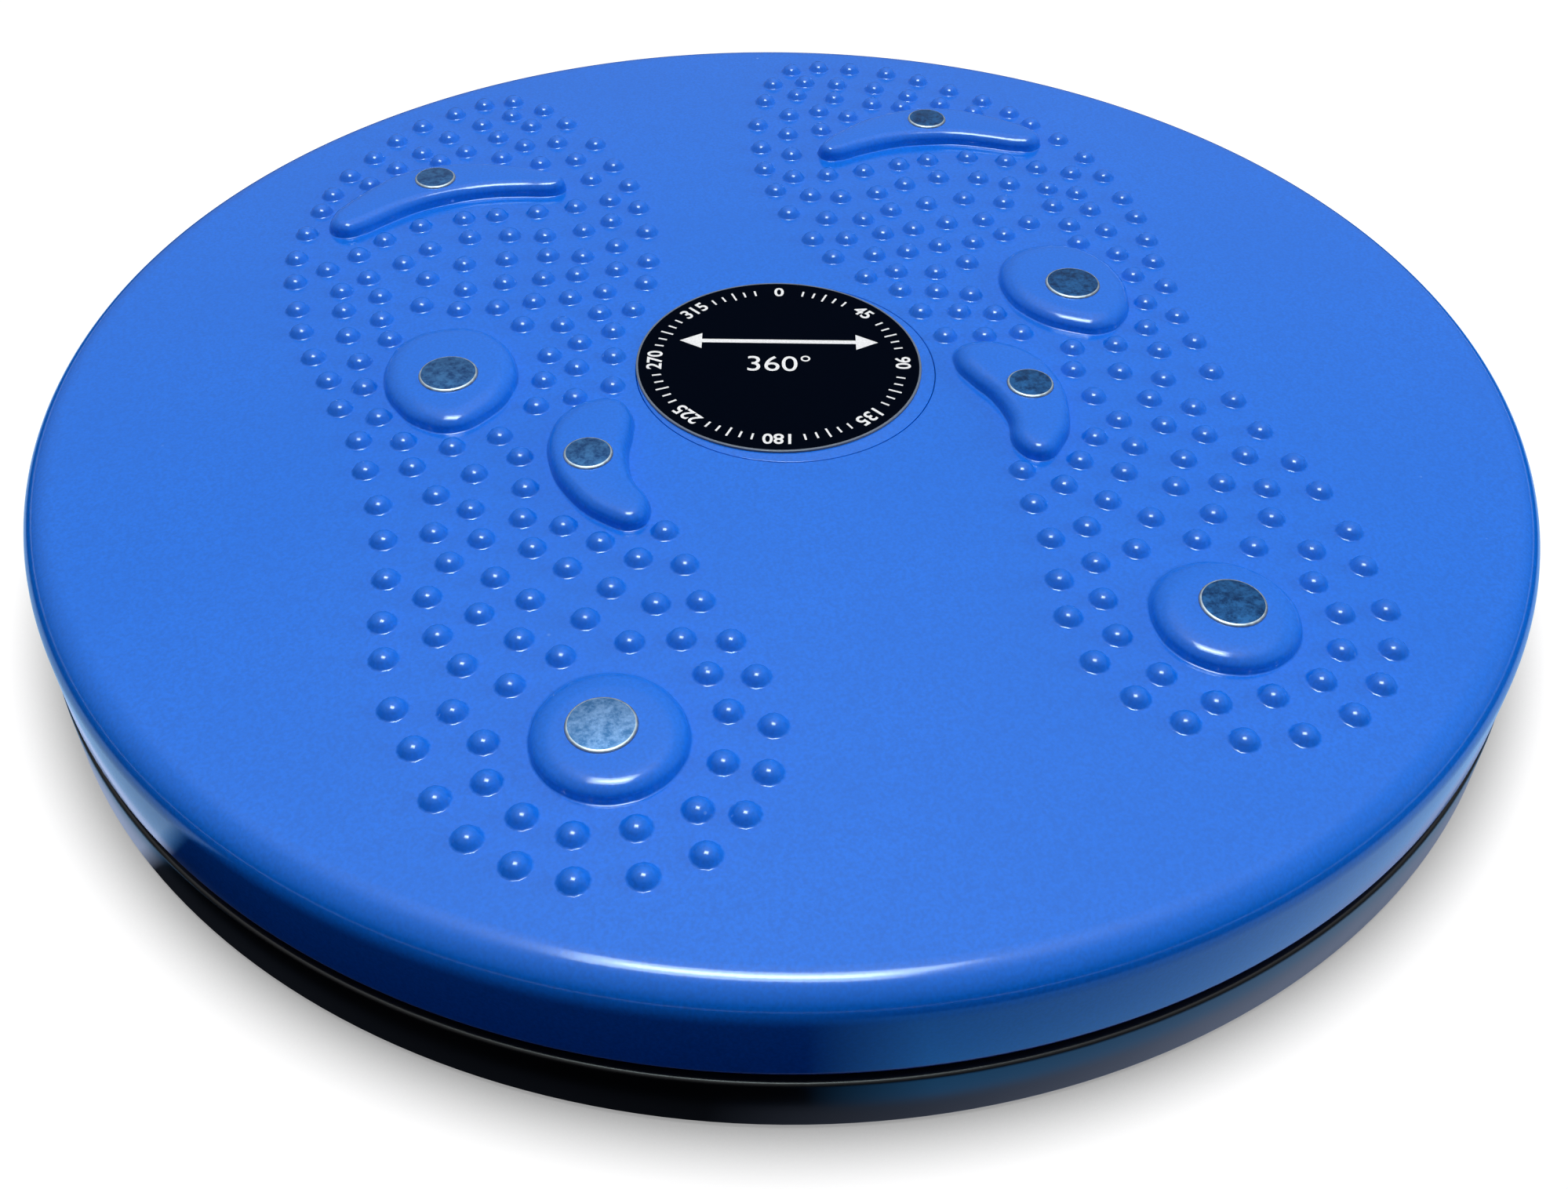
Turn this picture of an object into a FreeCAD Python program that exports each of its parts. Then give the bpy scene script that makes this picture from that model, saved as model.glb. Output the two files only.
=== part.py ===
"""Waist twisting disc: a foot plate that turns on a base over a ring of steel balls.

The origin is on the floor under the spin axis. Z points up and Y points towards the toes.
The two foot prints are mirror images across the plane X = 0.
"""
import FreeCAD, Part
import math
import os
import re
import Sketcher

doc = FreeCAD.newDocument("WaistTwistingDisc")

# Driving sizes in millimetres, and counts
SIZES = (
    # Foot plate: height of the standing face, shell, skirt and rounded edge
    ("plate_radius", 126.3),
    ("plate_top", 28.3),
    ("plate_wall", 3.0),
    ("skirt_depth", 17.2),
    ("skirt_wall", 3.0),
    ("skirt_draft", 0.1),
    ("edge_radius", 5.3),
    ("inner_bevel", 2.0),
    ("skirt_lip_radius", 1.2),
    # Relief of the foot prints
    ("footprint_margin", 26.3),
    ("dome_radius", 2.15),
    ("dome_height", 1.8),
    ("heel_pad_radius", 11.0),
    ("pad_height", 2.7),
    ("pad_edge_share", 0.015),
    # Magnets set in the pads
    ("large_magnet_radius", 5.0),
    ("small_magnet_radius", 4.0),
    ("magnet_thickness", 3.0),
    ("magnet_proud", 0.4),
    ("magnet_bevel", 0.4),
    ("magnet_play", 0.1),
    # Plug over the bolt's head, and the printed label on it
    ("cap_radius_share", 0.259),
    ("cap_thickness", 2.0),
    ("cap_bevel", 0.3),
    ("cap_play", 0.1),
    ("label_radius_share", 0.2485),
    ("label_thickness", 0.4),
    ("label_shift_left", 0.85),
    ("label_shift_forward", 1.45),
    # Base: shell, rim and the wall that stands behind the skirt
    ("rim_gap", 0.8),
    ("base_overhang", 0.5),
    ("base_draft", 0.2),
    ("base_wall", 2.5),
    ("rim_wall", 2.5),
    ("base_edge_radius", 0.8),
    ("rim_lip_radius", 0.5),
    ("foot_stand", 1.0),
    ("guard_gap", 1.0),
    ("guard_wall", 1.6),
    ("guard_height", 4.0),
    # Ribs, a number that the feet sit between
    ("rib_count", 12),
    ("rib_width", 2.0),
    ("rib_root", 0.5),
    ("upper_rib_depth", 4.5),
    ("lower_rib_depth", 5.5),
    # Rubber feet and their sockets
    ("foot_count", 6),
    ("foot_inset", 22.8),
    ("foot_radius", 8.4),
    ("foot_height", 3.0),
    ("foot_bevel", 0.6),
    ("foot_play", 0.15),
    ("socket_depth", 1.2),
    ("socket_wall", 2.0),
    # Thrust bearing
    ("race_radius", 60.0),
    ("race_width", 16.0),
    ("race_thickness", 2.5),
    ("groove_radius", 4.4),
    ("groove_depth", 1.0),
    ("race_play", 0.1),
    ("race_seat_height", 1.5),
    ("seat_step", 2.0),
    ("seat_wall", 2.0),
    ("seat_lip", 1.0),
    ("ball_radius", 4.0),
    ("ball_play", 0.12),
    ("ball_count", 24),
    ("cage_width", 13.0),
    ("cage_thickness", 2.4),
    ("pocket_play", 0.15),
    # Pivot: hubs, bolt, bush, washers and nut
    ("upper_hub_radius", 17.0),
    ("lower_hub_radius", 17.0),
    ("lower_hub_rise", 7.0),
    ("lower_hub_floor", 5.0),
    ("lower_hub_drop", 5.5),
    ("nut_pocket_radius", 13.0),
    ("bolt_radius", 4.0),
    ("bolt_play", 0.3),
    ("thread_proud", 0.8),
    ("head_radius", 10.0),
    ("head_height", 3.2),
    ("head_gap", 0.3),
    ("head_play", 1.5),
    ("neck_height", 3.0),
    ("neck_play", 0.1),
    ("bush_wall", 1.9),
    ("bush_flange_radius", 12.0),
    ("bush_flange_thickness", 1.2),
    ("bush_play", 0.08),
    ("bush_seat_play", 0.03),
    ("thrust_play", 0.1),
    ("washer_radius", 10.0),
    ("slip_washer_thickness", 1.0),
    ("steel_washer_thickness", 1.6),
    ("washer_play", 0.2),
    ("nut_flats", 13.0),
    ("nut_height", 7.0),
    ("nut_collar_height", 2.0),
    ("nut_play", 0.05),
)

# How near two numbers must be for an edge to be the one that is looked for
NEAR_SHARE = 0.00001

sheet = doc.addObject("Spreadsheet::Sheet", "Sizes")
for row, (alias, number) in enumerate(SIZES, start=1):
    sheet.set("A%d" % row, alias)
    sheet.set("B%d" % row, str(number))
    sheet.setAlias("B%d" % row, alias)
doc.recompute()

# Levels above the floor, written in the driving sizes
PLATE_UNDER = "(plate_top - plate_wall)"
SKIRT_BOTTOM = "(plate_top - skirt_depth)"
BASE_TOP = "(plate_top - skirt_depth - rim_gap)"
WEB_UNDER = "(%s - base_wall)" % BASE_TOP
LOWER_RACE_BACK = "(%s + race_seat_height)" % BASE_TOP
RACE_TO_BALL = "(race_thickness - groove_depth + ball_play + ball_radius)"
BALL_LEVEL = "(%s + %s)" % (LOWER_RACE_BACK, RACE_TO_BALL)
UPPER_RACE_BACK = "(%s + %s)" % (BALL_LEVEL, RACE_TO_BALL)
LOWER_HUB_TOP = "(%s + lower_hub_rise)" % BASE_TOP
NUT_SEAT = "(%s - lower_hub_floor)" % LOWER_HUB_TOP
FLANGE_TOP = "(%s + bush_flange_thickness)" % LOWER_HUB_TOP
UPPER_HUB_BOTTOM = "(%s + thrust_play)" % FLANGE_TOP
CAP_SEAT = "(plate_top - cap_thickness)"
HEAD_SEAT = "(%s - head_gap - head_height)" % CAP_SEAT
SLIP_WASHER_TOP = "(%s - thrust_play)" % NUT_SEAT
STEEL_WASHER_TOP = "(%s - slip_washer_thickness)" % SLIP_WASHER_TOP
NUT_TOP = "(%s - steel_washer_thickness)" % STEEL_WASHER_TOP
NUT_BOTTOM = "(%s - nut_height)" % NUT_TOP
BOLT_END = "(%s - thread_proud)" % NUT_BOTTOM
MAGNET_TOP = "(plate_top + pad_height + magnet_proud)"
MAGNET_BOTTOM = "(%s - magnet_thickness)" % MAGNET_TOP

# Radii, written in the driving sizes
FOOTPRINT_HALF = "(plate_radius - footprint_margin)"
BASE_RADIUS = "(plate_radius + base_overhang)"
CAP_RADIUS = "(cap_radius_share * %s)" % FOOTPRINT_HALF
LABEL_RADIUS = "(label_radius_share * %s)" % FOOTPRINT_HALF
RACE_INNER = "(race_radius - race_width / 2)"
RACE_OUTER = "(race_radius + race_width / 2)"
SKIRT_INNER = "(plate_radius - skirt_wall)"
SEAT_INNER = "(%s - race_play - seat_wall)" % RACE_INNER
SEAT_OUTER = "(%s + race_play + seat_wall)" % RACE_OUTER
GUARD_OUTER = "(%s - guard_gap)" % SKIRT_INNER
BUSH_BORE = "(bolt_radius + bush_play)"
BUSH_OUTER = "(%s + bush_wall)" % BUSH_BORE
HUB_BORE = "(bolt_radius + bolt_play)"

# Foot print, as shares of its half length from the plate's centre: x outwards, y to the toes.
# Toe tips to the front of the toe pad
TOE_DOME_SHARES = (
    (0.312, 1.078), (0.375, 1.077), (0.440, 1.051), (0.255, 1.025), (0.325, 1.016),
    (0.514, 1.013), (0.392, 0.990), (0.292, 0.962), (0.218, 0.953), (0.466, 0.951),
    (0.572, 0.963), (0.367, 0.929), (0.527, 0.899), (0.624, 0.902), (0.251, 0.878),
    (0.318, 0.880), (0.439, 0.884), (0.175, 0.852), (0.372, 0.842), (0.583, 0.848),
    (0.678, 0.840), (0.496, 0.856), (0.226, 0.798), (0.299, 0.800), (0.642, 0.798),
    (0.716, 0.774), (0.156, 0.755), (0.210, 0.713), (0.742, 0.716), (0.141, 0.669),
    (0.774, 0.639), (0.189, 0.623),
)
# Between the toe pad and the ball pad
BALL_DOME_SHARES = (
    (0.259, 0.615), (0.335, 0.612), (0.413, 0.619), (0.477, 0.623), (0.561, 0.616),
    (0.633, 0.581), (0.798, 0.555), (0.140, 0.581), (0.202, 0.545), (0.259, 0.524),
    (0.335, 0.522), (0.400, 0.541), (0.475, 0.551), (0.553, 0.528), (0.685, 0.539),
    (0.745, 0.502), (0.606, 0.491), (0.805, 0.474), (0.142, 0.490), (0.209, 0.453),
    (0.341, 0.452), (0.418, 0.458), (0.497, 0.460), (0.674, 0.456), (0.278, 0.433),
    (0.569, 0.427), (0.725, 0.424), (0.659, 0.390), (0.161, 0.387), (0.225, 0.373),
    (0.299, 0.374), (0.362, 0.376), (0.433, 0.380), (0.506, 0.374), (0.589, 0.342),
    (0.726, 0.359), (0.806, 0.383), (0.181, 0.315), (0.260, 0.305), (0.325, 0.301),
    (0.391, 0.306), (0.458, 0.302), (0.526, 0.313), (0.663, 0.315), (0.803, 0.310),
)
# Beside the ball pad and the arch pad
ARCH_DOME_SHARES = (
    (0.725, 0.278), (0.655, 0.250), (0.221, 0.236), (0.282, 0.240), (0.353, 0.219),
    (0.422, 0.237), (0.788, 0.227), (0.712, 0.195), (0.269, 0.179), (0.333, 0.158),
    (0.391, 0.133), (0.767, 0.153), (0.710, 0.119), (0.283, 0.103), (0.351, 0.086),
    (0.412, 0.064), (0.754, 0.069), (0.301, 0.020), (0.369, 0.003), (0.436, -0.005),
    (0.694, 0.029), (0.731, -0.026), (0.661, -0.046), (0.507, -0.071), (0.586, -0.080),
    (0.654, -0.116), (0.727, -0.106), (0.483, -0.132), (0.560, -0.157), (0.625, -0.195),
    (0.715, -0.197), (0.487, -0.212), (0.577, -0.242), (0.502, -0.283), (0.639, -0.283),
    (0.715, -0.281), (0.444, -0.316), (0.570, -0.315), (0.498, -0.355), (0.624, -0.356),
    (0.719, -0.369), (0.295, -0.367), (0.396, -0.367),
)
# Round the heel pad
HEEL_DOME_SHARES = (
    (0.347, -0.418), (0.454, -0.412), (0.562, -0.406), (0.664, -0.423), (0.282, -0.449),
    (0.733, -0.460), (0.399, -0.471), (0.519, -0.466), (0.595, -0.477), (0.659, -0.507),
    (0.277, -0.532), (0.342, -0.521), (0.448, -0.526), (0.547, -0.543), (0.738, -0.534),
    (0.632, -0.574), (0.395, -0.588), (0.495, -0.592), (0.322, -0.601), (0.254, -0.622),
    (0.573, -0.629), (0.735, -0.633), (0.656, -0.658), (0.301, -0.677), (0.236, -0.699),
    (0.715, -0.711), (0.623, -0.724), (0.290, -0.753), (0.237, -0.794), (0.628, -0.794),
    (0.697, -0.805), (0.319, -0.840), (0.592, -0.862), (0.265, -0.872), (0.665, -0.880),
    (0.370, -0.909), (0.453, -0.918), (0.534, -0.908), (0.312, -0.932), (0.612, -0.937),
    (0.376, -0.982), (0.460, -0.995), (0.546, -0.979),
)
# Outlines of the pads, each a closed smooth curve through its points
TOE_PAD_SHARES = (
    (0.265, 0.695), (0.273, 0.676), (0.293, 0.669), (0.353, 0.681), (0.424, 0.692),
    (0.495, 0.688), (0.564, 0.671), (0.625, 0.640), (0.673, 0.614), (0.705, 0.609),
    (0.730, 0.631), (0.726, 0.666), (0.696, 0.707), (0.646, 0.752), (0.586, 0.791),
    (0.506, 0.808), (0.414, 0.796), (0.333, 0.759), (0.275, 0.713),
)
BALL_PAD_SHARES = (
    (0.578, -0.043), (0.520, -0.019), (0.472, 0.033), (0.450, 0.107), (0.467, 0.180),
    (0.510, 0.224), (0.567, 0.235), (0.623, 0.221), (0.662, 0.177), (0.678, 0.109),
    (0.665, 0.040), (0.631, -0.016),
)
ARCH_PAD_SHARES = (
    (0.286, -0.072), (0.295, -0.124), (0.314, -0.179), (0.318, -0.249), (0.306, -0.315),
    (0.336, -0.352), (0.386, -0.321), (0.428, -0.244), (0.440, -0.172), (0.429, -0.100),
    (0.394, -0.052), (0.344, -0.032), (0.304, -0.040),
)
HEEL_PAD_CENTRE_SHARE = (0.4575, -0.764)
# Middle of each magnet, and the size that gives its radius
MAGNETS = (
    ("heel_magnet", (0.4665, -0.757), "large_magnet_radius"),
    ("arch_magnet", (0.379, -0.183), "small_magnet_radius"),
    ("ball_magnet", (0.569, 0.085), "large_magnet_radius"),
    ("toe_magnet", (0.515, 0.746), "small_magnet_radius"),
)
SIDES = (("left", -1), ("right", 1))

nodes = []


def size(alias):
    """Number in a cell of the sheet."""
    return float(sheet.get(alias))


def cells(text):
    """Expression in which each size's name points at its cell."""
    return re.sub(r"\b(?!cos\b|sin\b|sqrt\b|deg\b)[a-z]\w*", lambda word: "Sizes." + word.group(), text)


def bind(thing, **links):
    """Ties properties to expressions. Two underscores stand for a dot in a property's path."""
    for path, text in links.items():
        thing.setExpression(path.replace("__", "."), cells(text))


def new_body(name):
    """Empty body, with the name of its node."""
    body = doc.addObject("PartDesign::Body", name)
    body.Label = name
    return body


def keep(thing, name):
    """Names a finished piece and lists it among the nodes."""
    thing.Label = name
    nodes.append(thing)
    return thing


def origin_feature(body, role):
    """Plane or axis of a body's own origin."""
    return [item for item in body.Origin.OriginFeatures if item.Role == role][0]


def new_sketch(body, name, plane, level=None):
    """Sketch on one of the body's origin planes, lifted to a level."""
    sketch = body.newObject("Sketcher::SketchObject", name)
    sketch.AttachmentSupport = (origin_feature(body, plane), [""])
    sketch.MapMode = "FlatFace"
    if level:
        bind(sketch, AttachmentOffset__Base__z=level)
    return sketch


def pin(sketch, geometry, point, place):
    """Ties a point of a sketch to a place given by two expressions."""
    for kind, text in zip(("DistanceX", "DistanceY"), place):
        index = sketch.addConstraint(Sketcher.Constraint(kind, -1, 1, geometry, point, geometry + 1))
        sketch.setExpression("Constraints[%d]" % index, cells(text))


def add_polygon(sketch, places):
    """Closed polygon whose corners are tied to expressions."""
    count = len(places)
    first = sketch.GeometryCount
    start = [FreeCAD.Vector(index, index * index) for index in range(count)]
    for index in range(count):
        sketch.addGeometry(Part.LineSegment(start[index], start[(index + 1) % count]), False)
    for index in range(count):
        following = first + (index + 1) % count
        sketch.addConstraint(Sketcher.Constraint("Coincident", first + index, 2, following, 1))
    for index, place in enumerate(places):
        pin(sketch, first + index, 1, place)


def add_circle(sketch, place, radius):
    """Circle whose centre and radius are tied to expressions."""
    index = sketch.addGeometry(Part.Circle(FreeCAD.Vector(), FreeCAD.Vector(0, 0, 1), 1), False)
    pin(sketch, index, 3, place)
    number = sketch.addConstraint(Sketcher.Constraint("Radius", index, 1))
    sketch.setExpression("Constraints[%d]" % number, cells(radius))


def turned(body, name, places, cut=False):
    """Solid or cut made by turning a polygon of radius and height about Z."""
    sketch = new_sketch(body, name + "_profile", "XZ_Plane")
    add_polygon(sketch, places)
    feature = body.newObject("PartDesign::Groove" if cut else "PartDesign::Revolution", name)
    feature.Profile = sketch
    feature.ReferenceAxis = (sketch, ["V_Axis"])
    return feature


def raised(body, name, sketch, length):
    """Pad of a sketch, upwards."""
    feature = body.newObject("PartDesign::Pad", name)
    feature.Profile = sketch
    bind(feature, Length=length)
    return feature


def sunk(body, name, sketch, length):
    """Pocket of a sketch, downwards."""
    feature = body.newObject("PartDesign::Pocket", name)
    feature.Profile = sketch
    bind(feature, Length=length)
    return feature


def round_about(body, name, features, count):
    """Repeats features at even steps about Z."""
    pattern = body.newObject("PartDesign::PolarPattern", name)
    pattern.Originals = features
    pattern.Axis = (origin_feature(body, "Z_Axis"), [""])
    pattern.Angle = 360
    bind(pattern, Occurrences=count)
    body.Tip = pattern
    return pattern


def round_edges(body, name, rings, radius):
    """Rounds the circular edges with the given radii and heights."""
    doc.recompute()
    base = body.Tip
    near = size("plate_radius") * NEAR_SHARE
    names = []
    for index, edge in enumerate(base.Shape.Edges, start=1):
        if not isinstance(edge.Curve, Part.Circle):
            continue
        for ring_radius, level in rings:
            fits = abs(edge.Curve.Radius - ring_radius) < near
            if fits and abs(edge.Curve.Center.z - level) < near:
                names.append("Edge%d" % index)
    feature = body.newObject("PartDesign::Fillet", name)
    feature.Base = (base, names)
    bind(feature, Radius=radius)
    return feature


def rectangle(low_x, high_x, half_width):
    """Corners of a rectangle that straddles the X axis."""
    return [
        (low_x, "-" + half_width),
        (high_x, "-" + half_width),
        (high_x, half_width),
        (low_x, half_width),
    ]


def add_ribs(body, name, spans, low, depth):
    """Radial ribs under a web, over each span of radii, repeated round the axis."""
    sketch = new_sketch(body, name + "_outline", "XY_Plane", low)
    for inner, outer in spans:
        corners = rectangle("(%s - rib_root)" % inner, "(%s + rib_root)" % outer, "(rib_width / 2)")
        add_polygon(sketch, corners)
    rib = raised(body, name, sketch, depth + " + rib_root")
    round_about(body, name + "_round", [rib], "rib_count")


def seat_profile(back, lip_end, web):
    """Two race seats in section, from the inner one out: each has a lip beside the race."""
    inner = [
        (SEAT_INNER, web),
        (SEAT_INNER, lip_end),
        ("(%s - race_play)" % RACE_INNER, lip_end),
        ("(%s - race_play)" % RACE_INNER, back),
        ("(%s + seat_step)" % RACE_INNER, back),
        ("(%s + seat_step)" % RACE_INNER, web),
    ]
    outer = [
        ("(%s - seat_step)" % RACE_OUTER, web),
        ("(%s - seat_step)" % RACE_OUTER, back),
        ("(%s + race_play)" % RACE_OUTER, back),
        ("(%s + race_play)" % RACE_OUTER, lip_end),
        (SEAT_OUTER, lip_end),
        (SEAT_OUTER, web),
    ]
    return inner + outer


def footprint_half():
    """Half length of a foot print, which its shares are taken of."""
    return size("plate_radius") - size("footprint_margin")


def placed(share, side, level):
    """Point of a foot print, from its shares, on the given side."""
    half = footprint_half()
    return FreeCAD.Vector(side * share[0] * half, share[1] * half, level)


def make_plate_shell():
    """Plain foot plate: standing face, skirt, hub, race seats and ribs."""
    body = new_body("plate_shell")
    profile = [
        (HUB_BORE, UPPER_HUB_BOTTOM),
        ("upper_hub_radius", UPPER_HUB_BOTTOM),
        ("upper_hub_radius", PLATE_UNDER),
    ]
    profile += seat_profile(UPPER_RACE_BACK, "(%s - seat_lip)" % UPPER_RACE_BACK, PLATE_UNDER)
    profile += [
        ("(%s - inner_bevel)" % SKIRT_INNER, PLATE_UNDER),
        (SKIRT_INNER, "(%s - inner_bevel)" % PLATE_UNDER),
        (SKIRT_INNER, SKIRT_BOTTOM),
        ("plate_radius", SKIRT_BOTTOM),
        ("(plate_radius - skirt_draft)", "plate_top"),
        ("(%s + cap_play)" % CAP_RADIUS, "plate_top"),
        ("(%s + cap_play)" % CAP_RADIUS, CAP_SEAT),
        ("(head_radius + head_play)", CAP_SEAT),
        ("(head_radius + head_play)", HEAD_SEAT),
        (HUB_BORE, HEAD_SEAT),
    ]
    turned(body, "plate_section", profile)
    spans = [("upper_hub_radius", SEAT_INNER), (SEAT_OUTER, SKIRT_INNER)]
    add_ribs(body, "upper_ribs", spans, "(%s - upper_rib_depth)" % PLATE_UNDER, "upper_rib_depth")
    neck = new_sketch(body, "neck_socket_outline", "XY_Plane", HEAD_SEAT)
    half_neck = "(bolt_radius + neck_play)"
    add_polygon(neck, rectangle("-" + half_neck, half_neck, half_neck))
    sunk(body, "neck_socket", neck, "neck_height + neck_play")
    top_edge = (size("plate_radius") - size("skirt_draft"), size("plate_top"))
    round_edges(body, "plate_edge", [top_edge], "edge_radius")
    low_edge = (size("plate_radius"), size("plate_top") - size("skirt_depth"))
    round_edges(body, "skirt_lip", [low_edge], "skirt_lip_radius")
    return body


def make_dome(centre, cap_radius, root_angle):
    """Ball cap whose root lies inside the plate's wall."""
    up = FreeCAD.Vector(0, 0, 1)
    return Part.makeSphere(cap_radius, centre, up, root_angle, 90, 360)


def make_pad(shares, side):
    """Pad with a smooth outline and a rounded upper edge, rooted in the plate's wall."""
    root = size("rib_root")
    points = [placed(share, side, size("plate_top") - root) for share in shares]
    outline = Part.BSplineCurve()
    outline.interpolate(Points=points, PeriodicFlag=True)
    return round_pad(Part.Face(Part.Wire(outline.toShape())), root)


def round_pad(face, root):
    """Raises a pad from its outline's face and rounds its upper edge."""
    solid = face.extrude(FreeCAD.Vector(0, 0, root + size("pad_height")))
    top = size("plate_top") + size("pad_height")
    edges = [edge for edge in solid.Edges if edge.BoundBox.ZMin > top - root]
    return solid.makeFillet(size("pad_edge_share") * footprint_half(), edges)


def make_relief():
    """Domes and pads of both foot prints, as loose solids."""
    base = size("dome_radius")
    height = size("dome_height")
    cap_radius = (base * base + height * height) / (2 * height)
    root = size("rib_root")
    centre_level = size("plate_top") + height - cap_radius
    root_angle = math.degrees(math.asin((size("plate_top") - root - centre_level) / cap_radius))
    solids = []
    for _, side in SIDES:
        for shares in (TOE_DOME_SHARES, BALL_DOME_SHARES, ARCH_DOME_SHARES, HEEL_DOME_SHARES):
            for share in shares:
                solids.append(make_dome(placed(share, side, centre_level), cap_radius, root_angle))
        for shares in (TOE_PAD_SHARES, BALL_PAD_SHARES, ARCH_PAD_SHARES):
            solids.append(make_pad(shares, side))
        centre = placed(HEEL_PAD_CENTRE_SHARE, side, size("plate_top") - root)
        circle = Part.Circle(centre, FreeCAD.Vector(0, 0, 1), size("heel_pad_radius"))
        solids.append(round_pad(Part.Face(Part.Wire(circle.toShape())), root))
    relief = doc.addObject("Part::Feature", "foot_print_relief")
    relief.Shape = Part.Compound(solids)
    return relief


def make_magnet_sockets():
    """Round cutters for the magnets' sockets."""
    cutters = []
    for name, share, radius in MAGNETS:
        for side_name, side in SIDES:
            cutter = doc.addObject("Part::Cylinder", "%s_socket_%s" % (name, side_name))
            bind(cutter, Radius=radius + " + magnet_play", Height="magnet_thickness + rib_root")
            bind(cutter, Placement__Base__x="%f * %s" % (side * share[0], FOOTPRINT_HALF))
            bind(cutter, Placement__Base__y="%f * %s" % (share[1], FOOTPRINT_HALF))
            bind(cutter, Placement__Base__z=MAGNET_BOTTOM)
            cutters.append(cutter)
    sockets = doc.addObject("Part::Compound", "magnet_sockets")
    sockets.Links = cutters
    return sockets


def make_foot_plate():
    """Blue foot plate with both foot prints and the magnets' sockets."""
    whole = doc.addObject("Part::MultiFuse", "foot_plate_whole")
    whole.Shapes = [make_plate_shell(), make_relief()]
    plate = doc.addObject("Part::Cut", "foot_plate")
    plate.Base = whole
    plate.Tool = make_magnet_sockets()
    keep(plate, "foot_plate")


def make_magnets():
    """Eight round magnets, each a bevelled disc in its pad."""
    for name, share, radius in MAGNETS:
        for side_name, side in SIDES:
            body = new_body("%s_%s" % (name, side_name))
            turned(body, body.Name + "_disc", bevelled_disc(radius, "magnet_thickness", "magnet_bevel"))
            bind(body, Placement__Base__x="%f * %s" % (side * share[0], FOOTPRINT_HALF))
            bind(body, Placement__Base__y="%f * %s" % (share[1], FOOTPRINT_HALF))
            bind(body, Placement__Base__z=MAGNET_BOTTOM)
            keep(body, body.Name)


def bevelled_disc(radius, height, bevel, low="0"):
    """Section of a disc whose upper edge is bevelled."""
    top = "(%s + %s)" % (low, height)
    return [
        ("0", low),
        (radius, low),
        (radius, "(%s - %s)" % (top, bevel)),
        ("(%s - %s)" % (radius, bevel), top),
        ("0", top),
    ]


def make_cap_and_label():
    """Plug over the bolt's head, and the printed disc stuck on it a little off centre."""
    cap = new_body("hub_cap")
    turned(cap, "cap_disc", bevelled_disc(CAP_RADIUS, "cap_thickness", "cap_bevel", CAP_SEAT))
    keep(cap, "hub_cap")
    label = new_body("centre_label")
    corners = [
        ("0", "plate_top"),
        (LABEL_RADIUS, "plate_top"),
        (LABEL_RADIUS, "(plate_top + label_thickness)"),
        ("0", "(plate_top + label_thickness)"),
    ]
    turned(label, "label_disc", corners)
    bind(label, Placement__Base__x="-label_shift_left", Placement__Base__y="label_shift_forward")
    keep(label, "centre_label")


def make_base_plate():
    """Black base: an upside-down dish with race seats on top, ribs and feet sockets below."""
    body = new_body("base_plate")
    bore = "(%s + bush_seat_play)" % BUSH_OUTER
    hub_low = "(%s - lower_hub_drop)" % WEB_UNDER
    profile = [
        (bore, NUT_SEAT),
        ("nut_pocket_radius", NUT_SEAT),
        ("nut_pocket_radius", hub_low),
        ("lower_hub_radius", hub_low),
        ("lower_hub_radius", WEB_UNDER),
        ("(%s - rim_wall)" % BASE_RADIUS, WEB_UNDER),
        ("(%s - rim_wall)" % BASE_RADIUS, "foot_stand"),
        (BASE_RADIUS, "foot_stand"),
        ("(%s - base_draft)" % BASE_RADIUS, BASE_TOP),
        (GUARD_OUTER, BASE_TOP),
        (GUARD_OUTER, "(%s + guard_height)" % BASE_TOP),
        ("(%s - guard_wall)" % GUARD_OUTER, "(%s + guard_height)" % BASE_TOP),
        ("(%s - guard_wall)" % GUARD_OUTER, BASE_TOP),
    ]
    seats = seat_profile(LOWER_RACE_BACK, "(%s + seat_lip)" % LOWER_RACE_BACK, BASE_TOP)
    profile += reversed(seats)
    profile += [
        ("lower_hub_radius", BASE_TOP),
        ("lower_hub_radius", LOWER_HUB_TOP),
        (bore, LOWER_HUB_TOP),
    ]
    turned(body, "base_section", profile)
    rib_low = "(%s - lower_rib_depth)" % WEB_UNDER
    spans = [("lower_hub_radius", "(%s - rim_wall)" % BASE_RADIUS)]
    add_ribs(body, "lower_ribs", spans, rib_low, "lower_rib_depth")
    add_foot_sockets(body)
    rim = size("plate_radius") + size("base_overhang")
    shoulder = rim - size("base_draft")
    base_top = size("plate_top") - size("skirt_depth") - size("rim_gap")
    round_edges(body, "base_edge", [(shoulder, base_top)], "base_edge_radius")
    round_edges(body, "rim_lip", [(rim, size("foot_stand"))], "rim_lip_radius")
    keep(body, "base_plate")


def foot_place(turn="0"):
    """Middle of a foot, half a rib step from a rib, after a number of turns of the foot ring."""
    angle = "(180 deg / rib_count + %s * 360 deg / foot_count)" % turn
    ring = "(%s - foot_inset)" % BASE_RADIUS
    return ("%s * cos(%s)" % (ring, angle), "%s * sin(%s)" % (ring, angle))


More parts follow.
